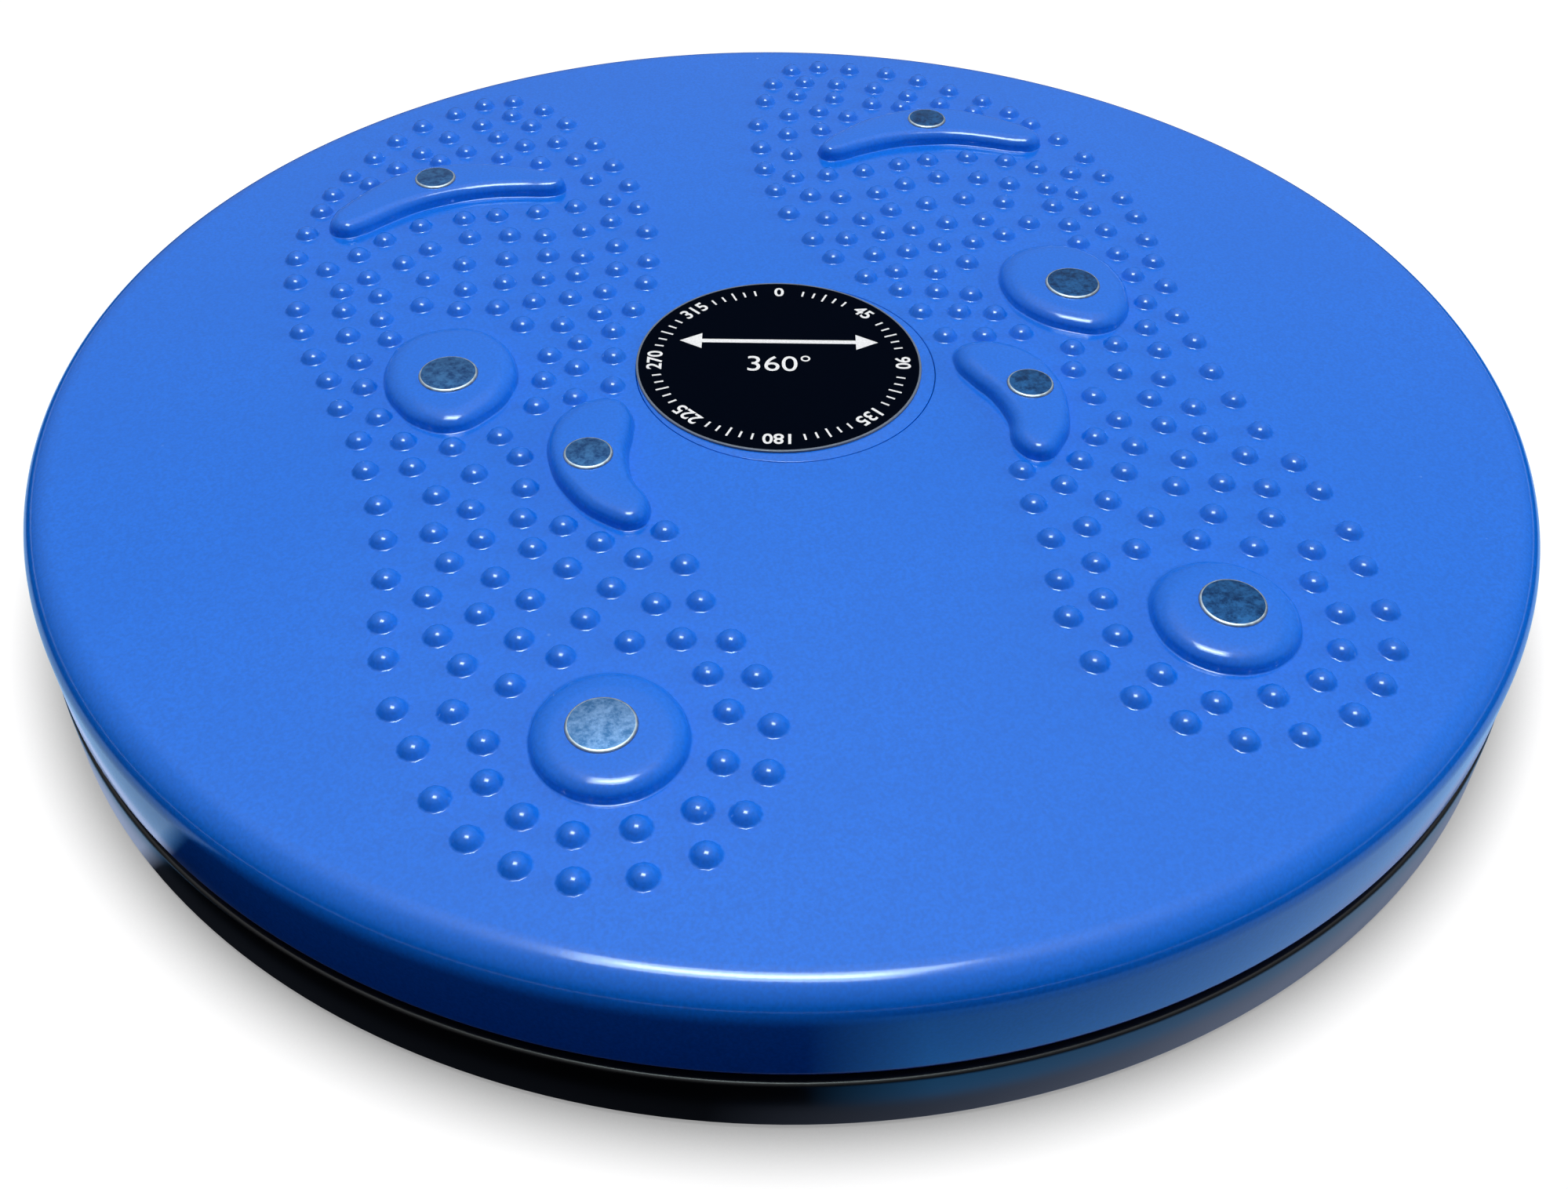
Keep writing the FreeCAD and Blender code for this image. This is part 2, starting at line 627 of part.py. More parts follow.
def add_foot_sockets(body):
    """Round bosses under the base, each with a shallow socket for a foot."""
    boss_low = "(foot_height - socket_depth)"
    boss = new_sketch(body, "foot_boss_outline", "XY_Plane", boss_low)
    add_circle(boss, foot_place(), "foot_radius + foot_play + socket_wall")
    post = raised(body, "foot_boss", boss, "%s - %s + rib_root" % (WEB_UNDER, boss_low))
    ring = new_sketch(body, "foot_socket_outline", "XY_Plane", "foot_height")
    add_circle(ring, foot_place(), "foot_radius + foot_play")
    socket = sunk(body, "foot_socket", ring, "socket_depth + rib_root")
    round_about(body, "foot_sockets_round", [post, socket], "foot_count")


def make_feet():
    """Rubber feet, bevelled where they meet the floor."""
    for index in range(int(size("foot_count"))):
        body = new_body("rubber_foot_%d" % (index + 1))
        profile = [
            ("0", "0"),
            ("(foot_radius - foot_bevel)", "0"),
            ("foot_radius", "foot_bevel"),
            ("foot_radius", "foot_height"),
            ("0", "foot_height"),
        ]
        turned(body, body.Name + "_disc", profile)
        across, along = foot_place(str(index))
        bind(body, Placement__Base__x=across, Placement__Base__y=along)
        keep(body, body.Name)


def make_race(name, back, facing):
    """Steel ring with a ball groove. Facing is 1 where the groove is on top, or -1 below."""
    body = new_body(name)
    sign = "+" if facing > 0 else "-"
    face = "(%s %s race_thickness)" % (back, sign)
    turned(body, name + "_ring", [(RACE_INNER, back), (RACE_OUTER, back), (RACE_OUTER, face), (RACE_INNER, face)])
    groove = body.newObject("PartDesign::SubtractiveTorus", name + "_groove")
    level = "%s %s (groove_radius - groove_depth)" % (face, sign)
    bind(groove, Radius1="race_radius", Radius2="groove_radius", Placement__Base__z=level)
    keep(body, name)


def make_cage():
    """Flat ring with a ball pocket at each even step. The pockets hold the ring on the balls."""
    body = new_body("ball_cage")
    low = "(%s - cage_thickness / 2)" % BALL_LEVEL
    high = "(%s + cage_thickness / 2)" % BALL_LEVEL
    inner = "(race_radius - cage_width / 2)"
    outer = "(race_radius + cage_width / 2)"
    turned(body, "cage_ring", [(inner, low), (outer, low), (outer, high), (inner, high)])
    pocket = body.newObject("PartDesign::SubtractiveSphere", "ball_pocket")
    bind(pocket, Radius="ball_radius + pocket_play")
    bind(pocket, Placement__Base__x="race_radius", Placement__Base__z=BALL_LEVEL)
    round_about(body, "ball_pockets_round", [pocket], "ball_count")
    keep(body, "ball_cage")


def make_balls():
    """Steel balls at even steps in the races' grooves."""
    balls = []
    for index in range(int(size("ball_count"))):
        ball = doc.addObject("Part::Sphere", "ball_%d" % (index + 1))
        angle = "%d * 360 deg / ball_count" % index
        bind(ball, Radius="ball_radius", Placement__Base__z=BALL_LEVEL)
        bind(ball, Placement__Base__x="race_radius * cos(%s)" % angle)
        bind(ball, Placement__Base__y="race_radius * sin(%s)" % angle)
        balls.append(ball)
    group = doc.addObject("Part::Compound", "bearing_balls")
    group.Links = balls
    keep(group, "bearing_balls")


def make_pivot_bolt():
    """Round-headed bolt with a square neck, its head down in the plate's hub."""
    body = new_body("pivot_bolt")
    head_top = "(%s + head_height)" % HEAD_SEAT
    profile = [
        ("0", BOLT_END),
        ("(bolt_radius - thread_proud)", BOLT_END),
        ("bolt_radius", NUT_BOTTOM),
        ("bolt_radius", HEAD_SEAT),
        ("head_radius", HEAD_SEAT),
        ("head_radius", "(%s + head_height / 4)" % HEAD_SEAT),
        ("(head_radius * 3 / 4)", "(%s + head_height * 3 / 4)" % HEAD_SEAT),
        ("(head_radius / 2)", head_top),
        ("0", head_top),
    ]
    turned(body, "bolt_section", profile)
    neck = new_sketch(body, "neck_outline", "XY_Plane", "(%s - neck_height)" % HEAD_SEAT)
    add_polygon(neck, rectangle("-bolt_radius", "bolt_radius", "bolt_radius"))
    raised(body, "square_neck", neck, "neck_height")
    keep(body, "pivot_bolt")


def make_pivot_bush():
    """Flanged bush in the base's hub. The plate's hub runs over its flange."""
    body = new_body("pivot_bush")
    profile = [
        (BUSH_BORE, NUT_SEAT),
        (BUSH_OUTER, NUT_SEAT),
        (BUSH_OUTER, LOWER_HUB_TOP),
        ("bush_flange_radius", LOWER_HUB_TOP),
        ("bush_flange_radius", FLANGE_TOP),
        (BUSH_BORE, FLANGE_TOP),
    ]
    turned(body, "bush_section", profile)
    keep(body, "pivot_bush")


def make_washer(name, top, thickness):
    """Flat washer on the bolt."""
    body = new_body(name)
    low = "(%s - %s)" % (top, thickness)
    bore = "(bolt_radius + washer_play)"
    turned(body, name + "_ring", [(bore, low), ("washer_radius", low), ("washer_radius", top), (bore, top)])
    keep(body, name)


def make_lock_nut():
    """Six-sided nut with a round collar below it."""
    body = new_body("lock_nut")
    hexagon = new_sketch(body, "nut_outline", "XY_Plane", "(%s + nut_collar_height)" % NUT_BOTTOM)
    corners = []
    for index in range(6):
        corner = "(nut_flats / sqrt(3) * %s(%d * 60 deg))"
        corners.append((corner % ("cos", index), corner % ("sin", index)))
    add_polygon(hexagon, corners)
    raised(body, "nut_hexagon", hexagon, "nut_height - nut_collar_height")
    collar = new_sketch(body, "nut_collar_outline", "XY_Plane", NUT_BOTTOM)
    add_circle(collar, ("0", "0"), "nut_flats / 2 - washer_play")
    raised(body, "nut_collar", collar, "nut_collar_height")
    bore = new_sketch(body, "nut_bore_outline", "XY_Plane", NUT_TOP)
    add_circle(bore, ("0", "0"), "bolt_radius + nut_play")
    sunk(body, "nut_bore", bore, "nut_height + rib_root")
    keep(body, "lock_nut")


make_foot_plate()
make_magnets()
make_cap_and_label()
make_base_plate()
make_feet()
make_race("lower_race", LOWER_RACE_BACK, 1)
make_race("upper_race", UPPER_RACE_BACK, -1)
make_cage()
make_balls()
make_pivot_bolt()
make_pivot_bush()
make_washer("slip_washer", SLIP_WASHER_TOP, "slip_washer_thickness")
make_washer("steel_washer", STEEL_WASHER_TOP, "steel_washer_thickness")
make_lock_nut()
doc.recompute()

for thing in doc.Objects:
    if "Invalid" in thing.State or "Error" in thing.State:
        raise RuntimeError("%s failed: %s" % (thing.Name, thing.State))
for node in nodes:
    if node.Shape.isNull() or not node.Shape.isValid():
        raise RuntimeError("%s has no valid shape" % node.Label)

os.makedirs("parts", exist_ok=True)
for node in nodes:
    node.Shape.exportStep("parts/%s.step" % node.Label)
    print(node.Label, len(node.Shape.Solids), "solid, volume", round(node.Shape.Volume))
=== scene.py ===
"""Waist twisting disc, dressed for a studio picture.

The blue foot plate carries two mirrored foot prints of small domes, raised pads with round
magnets, and a printed disc on a plug in its middle. It turns on a black base with rubber feet.
Lengths are in metres. The origin is on the floor under the spin axis, Z is up, and Y points
towards the toes.
"""

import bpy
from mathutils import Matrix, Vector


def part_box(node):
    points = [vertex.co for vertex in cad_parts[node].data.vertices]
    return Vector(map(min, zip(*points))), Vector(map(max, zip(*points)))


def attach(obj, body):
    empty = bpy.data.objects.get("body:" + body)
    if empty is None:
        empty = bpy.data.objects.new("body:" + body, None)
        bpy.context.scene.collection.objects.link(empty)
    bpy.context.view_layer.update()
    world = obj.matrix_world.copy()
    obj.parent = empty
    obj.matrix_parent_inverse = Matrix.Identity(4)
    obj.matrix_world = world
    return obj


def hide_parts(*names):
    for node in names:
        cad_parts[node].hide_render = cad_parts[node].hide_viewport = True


bl_info = {
    "name": "Waist Twisting Disc",
    "version": (1, 0, 0),
    "blender": (4, 5, 0),
    "location": "3D View > Sidebar > Twisting Disc",
    "description": "Models and dresses a waist twisting disc and its studio",
    "category": "Object",
}

import math
from statistics import fmean

import bmesh
import bpy
from bpy.props import FloatProperty, FloatVectorProperty, IntProperty, PointerProperty
from mathutils import Matrix, Vector

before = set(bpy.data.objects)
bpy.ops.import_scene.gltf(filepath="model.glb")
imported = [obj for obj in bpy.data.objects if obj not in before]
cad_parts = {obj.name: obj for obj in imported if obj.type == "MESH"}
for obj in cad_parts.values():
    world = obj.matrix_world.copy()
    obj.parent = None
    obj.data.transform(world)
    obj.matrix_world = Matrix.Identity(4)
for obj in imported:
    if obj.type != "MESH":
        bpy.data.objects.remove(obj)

TAU = 2 * math.pi
MM = 0.001

# Closeness of two levels, of two points that merge, and of a normal to straight up
NEAR = MM / 100
MERGE = MM / 500
FLAT = 0.99

# Places and radii that the solids give
PLATE_LOW, PLATE_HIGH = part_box("foot_plate")
BASE_LOW, BASE_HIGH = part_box("base_plate")
CAP_LOW, CAP_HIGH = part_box("hub_cap")
LABEL_LOW, LABEL_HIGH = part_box("centre_label")
UPPER_RACE_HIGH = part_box("upper_race")[1]
LOWER_RACE_LOW, LOWER_RACE_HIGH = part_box("lower_race")
BUSH_LOW, BUSH_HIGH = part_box("pivot_bush")
BOLT_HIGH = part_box("pivot_bolt")[1]
PLATE_TOP = LABEL_LOW.z
PLATE_RADIUS = PLATE_HIGH.x
SKIRT_BOTTOM = PLATE_LOW.z
BASE_RADIUS = BASE_HIGH.x
LABEL_RADIUS = (LABEL_HIGH.x - LABEL_LOW.x) / 2
LABEL_MIDDLE = (LABEL_LOW + LABEL_HIGH) / 2
FOOTPRINT_HALF = 100 * MM

# Clearances, seats and ribs that the plate and the base share
PLAY = 0.1 * MM
RIM_GAP = 0.8 * MM
BASE_TOP = SKIRT_BOTTOM - RIM_GAP
RACE_WIDTH = 16 * MM
SEAT_STEP = 2 * MM
SEAT_LIP = 1 * MM
HUB_RADIUS = 17 * MM
RIB_WIDTH = 2 * MM
RIB_COUNT = 12

# Skirt, and the hidden sizes of the plate
SKIRT_LIP = 2 * MM
SKIRT_DRAFT = 0.1 * MM
BOLT_BORE = 4.3 * MM
BOLT_HEAD = 3.2 * MM
HEAD_POCKET = 11.5 * MM
PLATE_RIB_DEPTH = 4.5 * MM
HEAD_SEAT = BOLT_HIGH.z - BOLT_HEAD

# Rim, and the hidden sizes of the base
RIM_LIP = 0.5 * MM
RIM_DROP = 0.5 * MM
BASE_DRAFT = 0.2 * MM
BUSH_BORE = 6.01 * MM
NUT_POCKET = 13 * MM
HUB_LOW = 2.3 * MM
BASE_RIB_DEPTH = 5.5 * MM
GUARD_GAP = 4 * MM
GUARD_WALL = 1.6 * MM
GUARD_HEIGHT = 4 * MM
FOOT_PLAY = 0.15 * MM
SOCKET_WALL = 2 * MM
SOCKET_DEPTH = 1.2 * MM

# Foot print, as shares of its half length from the plate's centre: x outwards, y to the toes.
# Toe tips to the front of the toe pad
TOE_DOME_SHARES = (
    (0.312, 1.078), (0.375, 1.077), (0.440, 1.051), (0.255, 1.025), (0.325, 1.016),
    (0.514, 1.013), (0.392, 0.990), (0.292, 0.962), (0.218, 0.953), (0.466, 0.951),
    (0.572, 0.963), (0.367, 0.929), (0.527, 0.899), (0.624, 0.902), (0.251, 0.878),
    (0.318, 0.880), (0.439, 0.884), (0.175, 0.852), (0.372, 0.842), (0.583, 0.848),
    (0.678, 0.840), (0.496, 0.856), (0.226, 0.798), (0.299, 0.800), (0.642, 0.798),
    (0.716, 0.774), (0.156, 0.755), (0.210, 0.713), (0.742, 0.716), (0.141, 0.669),
    (0.774, 0.639), (0.189, 0.623),
)
# Between the toe pad and the ball pad
BALL_DOME_SHARES = (
    (0.259, 0.615), (0.335, 0.612), (0.413, 0.619), (0.477, 0.623), (0.561, 0.616),
    (0.633, 0.581), (0.798, 0.555), (0.140, 0.581), (0.202, 0.545), (0.259, 0.524),
    (0.335, 0.522), (0.400, 0.541), (0.475, 0.551), (0.553, 0.528), (0.685, 0.539),
    (0.745, 0.502), (0.606, 0.491), (0.805, 0.474), (0.142, 0.490), (0.209, 0.453),
    (0.341, 0.452), (0.418, 0.458), (0.497, 0.460), (0.674, 0.456), (0.278, 0.433),
    (0.569, 0.427), (0.725, 0.424), (0.659, 0.390), (0.161, 0.387), (0.225, 0.373),
    (0.299, 0.374), (0.362, 0.376), (0.433, 0.380), (0.506, 0.374), (0.589, 0.342),
    (0.726, 0.359), (0.806, 0.383), (0.181, 0.315), (0.260, 0.305), (0.325, 0.301),
    (0.391, 0.306), (0.458, 0.302), (0.526, 0.313), (0.663, 0.315), (0.803, 0.310),
)
# Beside the ball pad and the arch pad
ARCH_DOME_SHARES = (
    (0.725, 0.278), (0.655, 0.250), (0.221, 0.236), (0.282, 0.240), (0.353, 0.219),
    (0.422, 0.237), (0.788, 0.227), (0.712, 0.195), (0.269, 0.179), (0.333, 0.158),
    (0.391, 0.133), (0.767, 0.153), (0.710, 0.119), (0.283, 0.103), (0.351, 0.086),
    (0.412, 0.064), (0.754, 0.069), (0.301, 0.020), (0.369, 0.003), (0.436, -0.005),
    (0.694, 0.029), (0.731, -0.026), (0.661, -0.046), (0.507, -0.071), (0.586, -0.080),
    (0.654, -0.116), (0.727, -0.106), (0.483, -0.132), (0.560, -0.157), (0.625, -0.195),
    (0.715, -0.197), (0.487, -0.212), (0.577, -0.242), (0.502, -0.283), (0.639, -0.283),
    (0.715, -0.281), (0.444, -0.316), (0.570, -0.315), (0.498, -0.355), (0.624, -0.356),
    (0.719, -0.369), (0.295, -0.367), (0.396, -0.367),
)
# Round the heel pad
HEEL_DOME_SHARES = (
    (0.347, -0.418), (0.454, -0.412), (0.562, -0.406), (0.664, -0.423), (0.282, -0.449),
    (0.733, -0.460), (0.399, -0.471), (0.519, -0.466), (0.595, -0.477), (0.659, -0.507),
    (0.277, -0.532), (0.342, -0.521), (0.448, -0.526), (0.547, -0.543), (0.738, -0.534),
    (0.632, -0.574), (0.395, -0.588), (0.495, -0.592), (0.322, -0.601), (0.254, -0.622),
    (0.573, -0.629), (0.735, -0.633), (0.656, -0.658), (0.301, -0.677), (0.236, -0.699),
    (0.715, -0.711), (0.623, -0.724), (0.290, -0.753), (0.237, -0.794), (0.628, -0.794),
    (0.697, -0.805), (0.319, -0.840), (0.592, -0.862), (0.265, -0.872), (0.665, -0.880),
    (0.370, -0.909), (0.453, -0.918), (0.534, -0.908), (0.312, -0.932), (0.612, -0.937),
    (0.376, -0.982), (0.460, -0.995), (0.546, -0.979),
)
# Outlines of the pads, each a closed smooth curve through its points
TOE_PAD_SHARES = (
    (0.265, 0.695), (0.273, 0.676), (0.293, 0.669), (0.353, 0.681), (0.424, 0.692),
    (0.495, 0.688), (0.564, 0.671), (0.625, 0.640), (0.673, 0.614), (0.705, 0.609),
    (0.730, 0.631), (0.726, 0.666), (0.696, 0.707), (0.646, 0.752), (0.586, 0.791),
    (0.506, 0.808), (0.414, 0.796), (0.333, 0.759), (0.275, 0.713),
)
BALL_PAD_SHARES = (
    (0.578, -0.043), (0.520, -0.019), (0.472, 0.033), (0.450, 0.107), (0.467, 0.180),
    (0.510, 0.224), (0.567, 0.235), (0.623, 0.221), (0.662, 0.177), (0.678, 0.109),
    (0.665, 0.040), (0.631, -0.016),
)
ARCH_PAD_SHARES = (
    (0.286, -0.072), (0.295, -0.124), (0.314, -0.179), (0.318, -0.249), (0.306, -0.315),
    (0.336, -0.352), (0.386, -0.321), (0.428, -0.244), (0.440, -0.172), (0.429, -0.100),
    (0.394, -0.052), (0.344, -0.032), (0.304, -0.040),
)
HEEL_PAD_CENTRE_SHARE = (0.4575, -0.764)
HEEL_PAD_RADIUS_SHARE = 0.11
SIDES = (("left", -1), ("right", 1))
MAGNET_NAMES = ("heel_magnet", "arch_magnet", "ball_magnet", "toe_magnet")
# Magnet that gets a lighter copy of the plating: painted light
BRIGHTENED_MAGNET = "heel_magnet_left"
FOOT_NAMES = tuple("rubber_foot_%d" % number for number in range(1, 7))

# Section of a dome, from its foot to below its tip, as shares of its foot's radius and its height
DOME_SECTION_SHARES = ((0.94, 0.03), (0.875, 0.12), (0.71, 0.54), (0.43, 0.85))
DOME_SIDES = 12
DOME_FOOT = 2.4 * MM

# Pads: soft foot as shares of its width, steps of the rounded edge, and room left inside
PAD_FOOT = 0.3 * MM
PAD_FOOT_SHARES = ((0.58, 0.17), (0.92, 0.58), (1.0, 1.33))
PAD_DRAFT = 0.05 * MM
PAD_EDGE_STEPS = 7
PAD_ROOM_SHARE = 0.85
PAD_CURVE_STEPS = 6
HEEL_PAD_KNOTS = 16
PAD_SLOPE = 1.8 * MM
MAGNET_PLAY = 0.02 * MM
MAGNET_FACETS = 64
SOCKET_FACETS = 48

# Finish: usual range of a noise, fade of the clouds, pale specks that are partly painted glints, and plating
NOISE_RANGE = (0.3, 0.7)
CLOUD_FADE = (0.35, 0.65, 0.0, 0.25)
SPECK_AND_GLINT_COLOUR = (0.25, 0.5, 0.95)
SPECK_AND_GLINT_SCALE = 260.0
SPECK_AND_GLINT_DOT = (0.03, 0.1, 1.0, 0.0)
SPECK_AND_GLINT_PATCH_SIZE = 12 * MM
SPECK_AND_GLINT_PATCH = (0.66, 0.7)
PLATING_ROUGHNESS = (0.3, 0.5)
PLATING_METAL = 0.75

# Plug, disc in the middle, and the dial printed on it
CAP_EDGE = 1.5 * PLAY
LABEL_FACETS = 192
INK_THICKNESS = 0.06 * MM
INK_LEVEL = LABEL_HIGH.z + INK_THICKNESS / 2
DIAL_SHARE = 0.865
DIAL_NUMBERS = 8
DIAL_MARKS = 2
DIAL_MARK_STEP_SHARE = 0.12
DIAL_MARK_SHARE = 0.6
DIAL_MIDDLE_MARK_SHARE = 0.9
DIAL_ARROW_SHARE = 0.6
DIAL_ARROW_BAR_SHARE = 0.4
DIAL_ARROW_RISE = 6.0 * MM
DIAL_TITLE_SHARE = 1.7
DIAL_TITLE_DROP = 0.9 * MM
DIAL_TURN = math.radians(-15.4)
DIAL_LETTER_SHARE = 1.4
DIAL_WEIGHT_SHARE = 0.025

# Floor: width and lightness of the shadow close to the base, and where it turns white all over
FLOOR_SIZE = 8.0
CONTACT_REACH = 10 * MM
CONTACT_SHADE = 0.36
WHITE_FROM = 0.3
WHITE_FULL = 0.8

# Dark card round the base: pale rings outside the rim, and where they start and end round it
CARD_RADIUS = 0.9
CARD_BLUR = math.radians(1.2)
NEAR_RING = BASE_RADIUS + 2.2 * MM
NEAR_RING_BLUR = 0.8 * MM
FAR_RING = BASE_RADIUS + 45 * MM
FAR_RING_BLUR = 20 * MM
DARK_FROM = math.radians(-153)
NEAR_FROM = math.radians(-110)
NEAR_FULL = math.radians(-78)
FAR_FROM = math.radians(-104)
FAR_FULL = math.radians(-96)
PALE_FROM = math.radians(-62)
FAR_STRENGTH = 1.25
LEFT_STRENGTH = 1.8
DARK_STRENGTH = 0.04

# How far the bright parts of the sky and of the reflections lean to the back, and how they fade
SKY_TILT = math.radians(33)
SKY_FADE = (0.15, 0.6)
GLOSS_TILT = math.radians(12)
GLOSS_AROUND = (0.0, 0.76, 0.0, 0.58)
GLOSS_WINDOW = (0.76, 0.96, 0.0, 0.8)

# Lamps: setting, metres backwards, sideways and up, size, and whether they only show as glints
LAMPS = (
    ("overhead_softbox", "soft_power", (0.07, 0.0, 1.2), (0.9, 0.6), False),
    ("right_fill", "fill_power", (0.05, 1.25, 0.35), (0.7, 0.5), False),
    ("key_lamp", "key_power", (-0.11, -0.02, 0.9), (0.3, 0.11), True),
    ("halo_lamp", "halo_power", (-0.1122, -0.0204, 0.918), (0.42, 0.36), True),
)
GLINT_COLOUR = (0.8, 1.0, 1.0)
ROOM_COLOUR = (0.95, 0.97, 1.0)
WHITE = (1.0, 1.0, 1.0)
BLACK = (0.0, 0.0, 0.0)


# Settings that a user can change


def length(name, description, default):
    """A length in metres."""
    return FloatProperty(name=name, description=description, default=default, unit="LENGTH", precision=5)


def angle(name, description, degrees):
    """An angle."""
    default = math.radians(degrees)
    return FloatProperty(name=name, description=description, default=default, subtype="ANGLE")


def fraction(name, description, default):
    """A value from 0 to 1."""
    return FloatProperty(name=name, description=description, default=default, min=0.0, max=1.0)


def amount(name, description, default):
    """A value that isn't below 0."""
    return FloatProperty(name=name, description=description, default=default, min=0.0)


def facets(description, default):
    """A number of facets."""
    return IntProperty(name="Segments", description=description, default=default, min=24)


def colour(name, description, default):
    """A colour."""
    kind = {"subtype": "COLOR", "size": 3, "min": 0.0, "max": 1.0}
    return FloatVectorProperty(name=name, description=description, default=default, **kind)


class PlateSettings(bpy.types.PropertyGroup):
    """Sizes and finish of the foot plate."""
    edge_radius: length("Edge radius", "Rounding of the plate's upper edge", 0.0054)
    wall: length("Wall", "Thickness of the standing face and the skirt", 0.003)
    dome_height: length("Dome height", "Height of a dome above the plate", 0.00165)
    pad_height: length("Pad height", "Height of the raised pads", 0.0027)
    pad_edge: length("Pad edge", "Rounding of the pads' upper edge", 0.0034)
    segments: facets("Facets round the plate", 288)
    colour: colour("Colour", "Blue of the plastic", (0.004, 0.145, 0.69))
    roughness: fraction("Roughness", "Roughness of the moulded face", 0.13)


class BaseSettings(bpy.types.PropertyGroup):
    """Sizes and finish of the base."""
    edge_radius: length("Edge radius", "Rounding of the base's upper edge", 0.0006)
    wall: length("Wall", "Thickness of the web and the rim", 0.0025)
    segments: facets("Facets round the base", 256)
    colour: colour("Colour", "Black of the plastic", (0.004, 0.004, 0.005))
    roughness: fraction("Roughness", "Roughness of the base", 0.3)


class LabelSettings(bpy.types.PropertyGroup):
    """Print on the middle disc."""
    ground: colour("Ground", "Black ground of the print", (0.0004, 0.0015, 0.005))
    ink: colour("Ink", "White ink of the marks", (0.78, 0.79, 0.8))
    edge: colour("Edge", "Silver edge of the printed disc", (0.12, 0.15, 0.2))
    number_height: length("Number height", "Height of the numbers on the dial", 0.0026)
    mark_width: length("Mark width", "Width of the marks between the numbers", 0.00035)
    edge_width: length("Edge width", "Width of the silver edge", 0.00025)


class MagnetSettings(bpy.types.PropertyGroup):
    """Plated magnets, with lighter and darker copies of one plating that paint light and shade."""
    bevel: length("Bevel", "Rounding of a magnet's upper edge", 0.0004)
    left_light: colour("Left plating", "Lighter patches of the left magnets", (0.045, 0.16, 0.37))
    left_dark: colour("Left plating, dark", "Darker patches of the left magnets", (0.008, 0.06, 0.2))
    # The right magnets' plating is the left one made darker: painted shade
    right_shaded_light: colour("Right plating", "Lighter patches of the right magnets", (0.018, 0.12, 0.33))
    right_shaded_dark: colour("Right plating, dark", "Darker patches of the right magnets", (0.0, 0.035, 0.13))
    # Lighter copy of the plating for one magnet: painted light
    brightened: colour("Worn plating", "Lighter patches of the most worn magnet", (0.17, 0.31, 0.55))
    # Bright steel on each magnet's bevel and side: a painted glint of the lamp
    edge: colour("Worn edge", "Bright edge where the plating is rubbed", (0.5, 0.57, 0.64))


class StageSettings(bpy.types.PropertyGroup):
    """Camera, lamps and floor."""
    lens: amount("Lens", "Focal length in millimetres", 36.77)
    aim: FloatVectorProperty(
        name="Aim",
        description="Point that the camera looks at",
        default=(-0.01544, -0.05477, 0.0283),
        subtype="XYZ",
    )
    distance: length("Distance", "From the camera to its aim", 0.2373)
    azimuth: angle("Azimuth", "Camera's turn about Z, from straight ahead", -16.27)
    elevation: angle("Elevation", "Camera's height above the horizon", 43.876)
    roll: angle("Roll", "Camera's roll", 1.2)
    floor_colour: colour("Floor", "Pale floor", (0.2, 0.2, 0.2))
    floor_glow: colour("Floor glow", "Glow that carries the seen floor to white", (0.87, 0.87, 0.87))
    bounce_colour: colour("Bounce", "Dim floor that the object is lit by", (0.05, 0.07, 0.12))
    soft_power: amount("Softbox power", "Watts of the large lamp overhead", 11.6)
    fill_power: amount("Fill power", "Watts of the lamp at the right", 6.0)
    key_power: amount("Key power", "Watts of the small lamp overhead", 2.0)
    halo_power: amount("Halo power", "Watts of the dimmer lamp round it", 5.0)
    near_glow: colour("Near glow", "Light from the floor close to the base", (0.43, 0.52, 0.76))
    far_glow: colour("Far glow", "Light from the floor further out", (0.28, 0.5, 0.8))
    front_glow: colour("Front glow", "The same next to the dark sector", (0.08, 0.42, 1.0))
    sky_low: colour("Low sky", "Light from the side of the camera", (0.005, 0.012, 0.05))
    sky_high: colour("High sky", "Light from overhead and the back", (0.4, 0.4, 0.4))


# Small helpers


def deselect():
    """Leaves edit mode and deselects everything."""
    if bpy.context.object and bpy.context.object.mode != "OBJECT":
        bpy.ops.object.mode_set(mode="OBJECT")
    bpy.ops.object.select_all(action="DESELECT")


def pick(*things):
    """Selects these objects and makes the first one active."""
    deselect()
    for thing in things:
        thing.select_set(True)
    bpy.context.view_layer.objects.active = things[0]


def named(name):
    """Names the active object and its mesh."""
    thing = bpy.context.object
    thing.name = name
    thing.data.name = name
    return thing


def rest_at_origin(thing):
    """Puts the object's place into its mesh."""
    pick(thing)
    bpy.ops.object.transform_apply(location=True, rotation=True, scale=True)


def settle(matrix):
    """Gives the active object its place, and puts that into its mesh."""
    thing = bpy.context.object
    thing.matrix_world = matrix
    rest_at_origin(thing)
    return thing


def smooth(thing, degrees=40):
    """Smooth shading with sharp edges kept."""
    pick(thing)
    bpy.ops.object.shade_smooth_by_angle(angle=math.radians(degrees))


def edit(thing, kind="VERT", action="SELECT"):
    """Opens a mesh in edit mode, with all or nothing of it selected."""
    pick(thing)
    bpy.ops.object.mode_set(mode="EDIT")
    bpy.ops.mesh.select_mode(type=kind)
    bpy.ops.mesh.select_all(action=action)


def close():
    """Leaves edit mode."""
    bpy.ops.mesh.select_mode(type="VERT")
    bpy.ops.object.mode_set(mode="OBJECT")


def heal(inside=False):
    """Merges doubled points, makes the normals agree, and leaves edit mode."""
    bpy.ops.mesh.select_all(action="SELECT")
    bpy.ops.mesh.remove_doubles(threshold=MERGE)
    bpy.ops.mesh.normals_make_consistent(inside=inside)
    close()


def at_level(part, level):
    """Whether a face or an edge lies flat at a level."""
    return all(abs(vertex.co.z - level) < NEAR for vertex in part.verts)


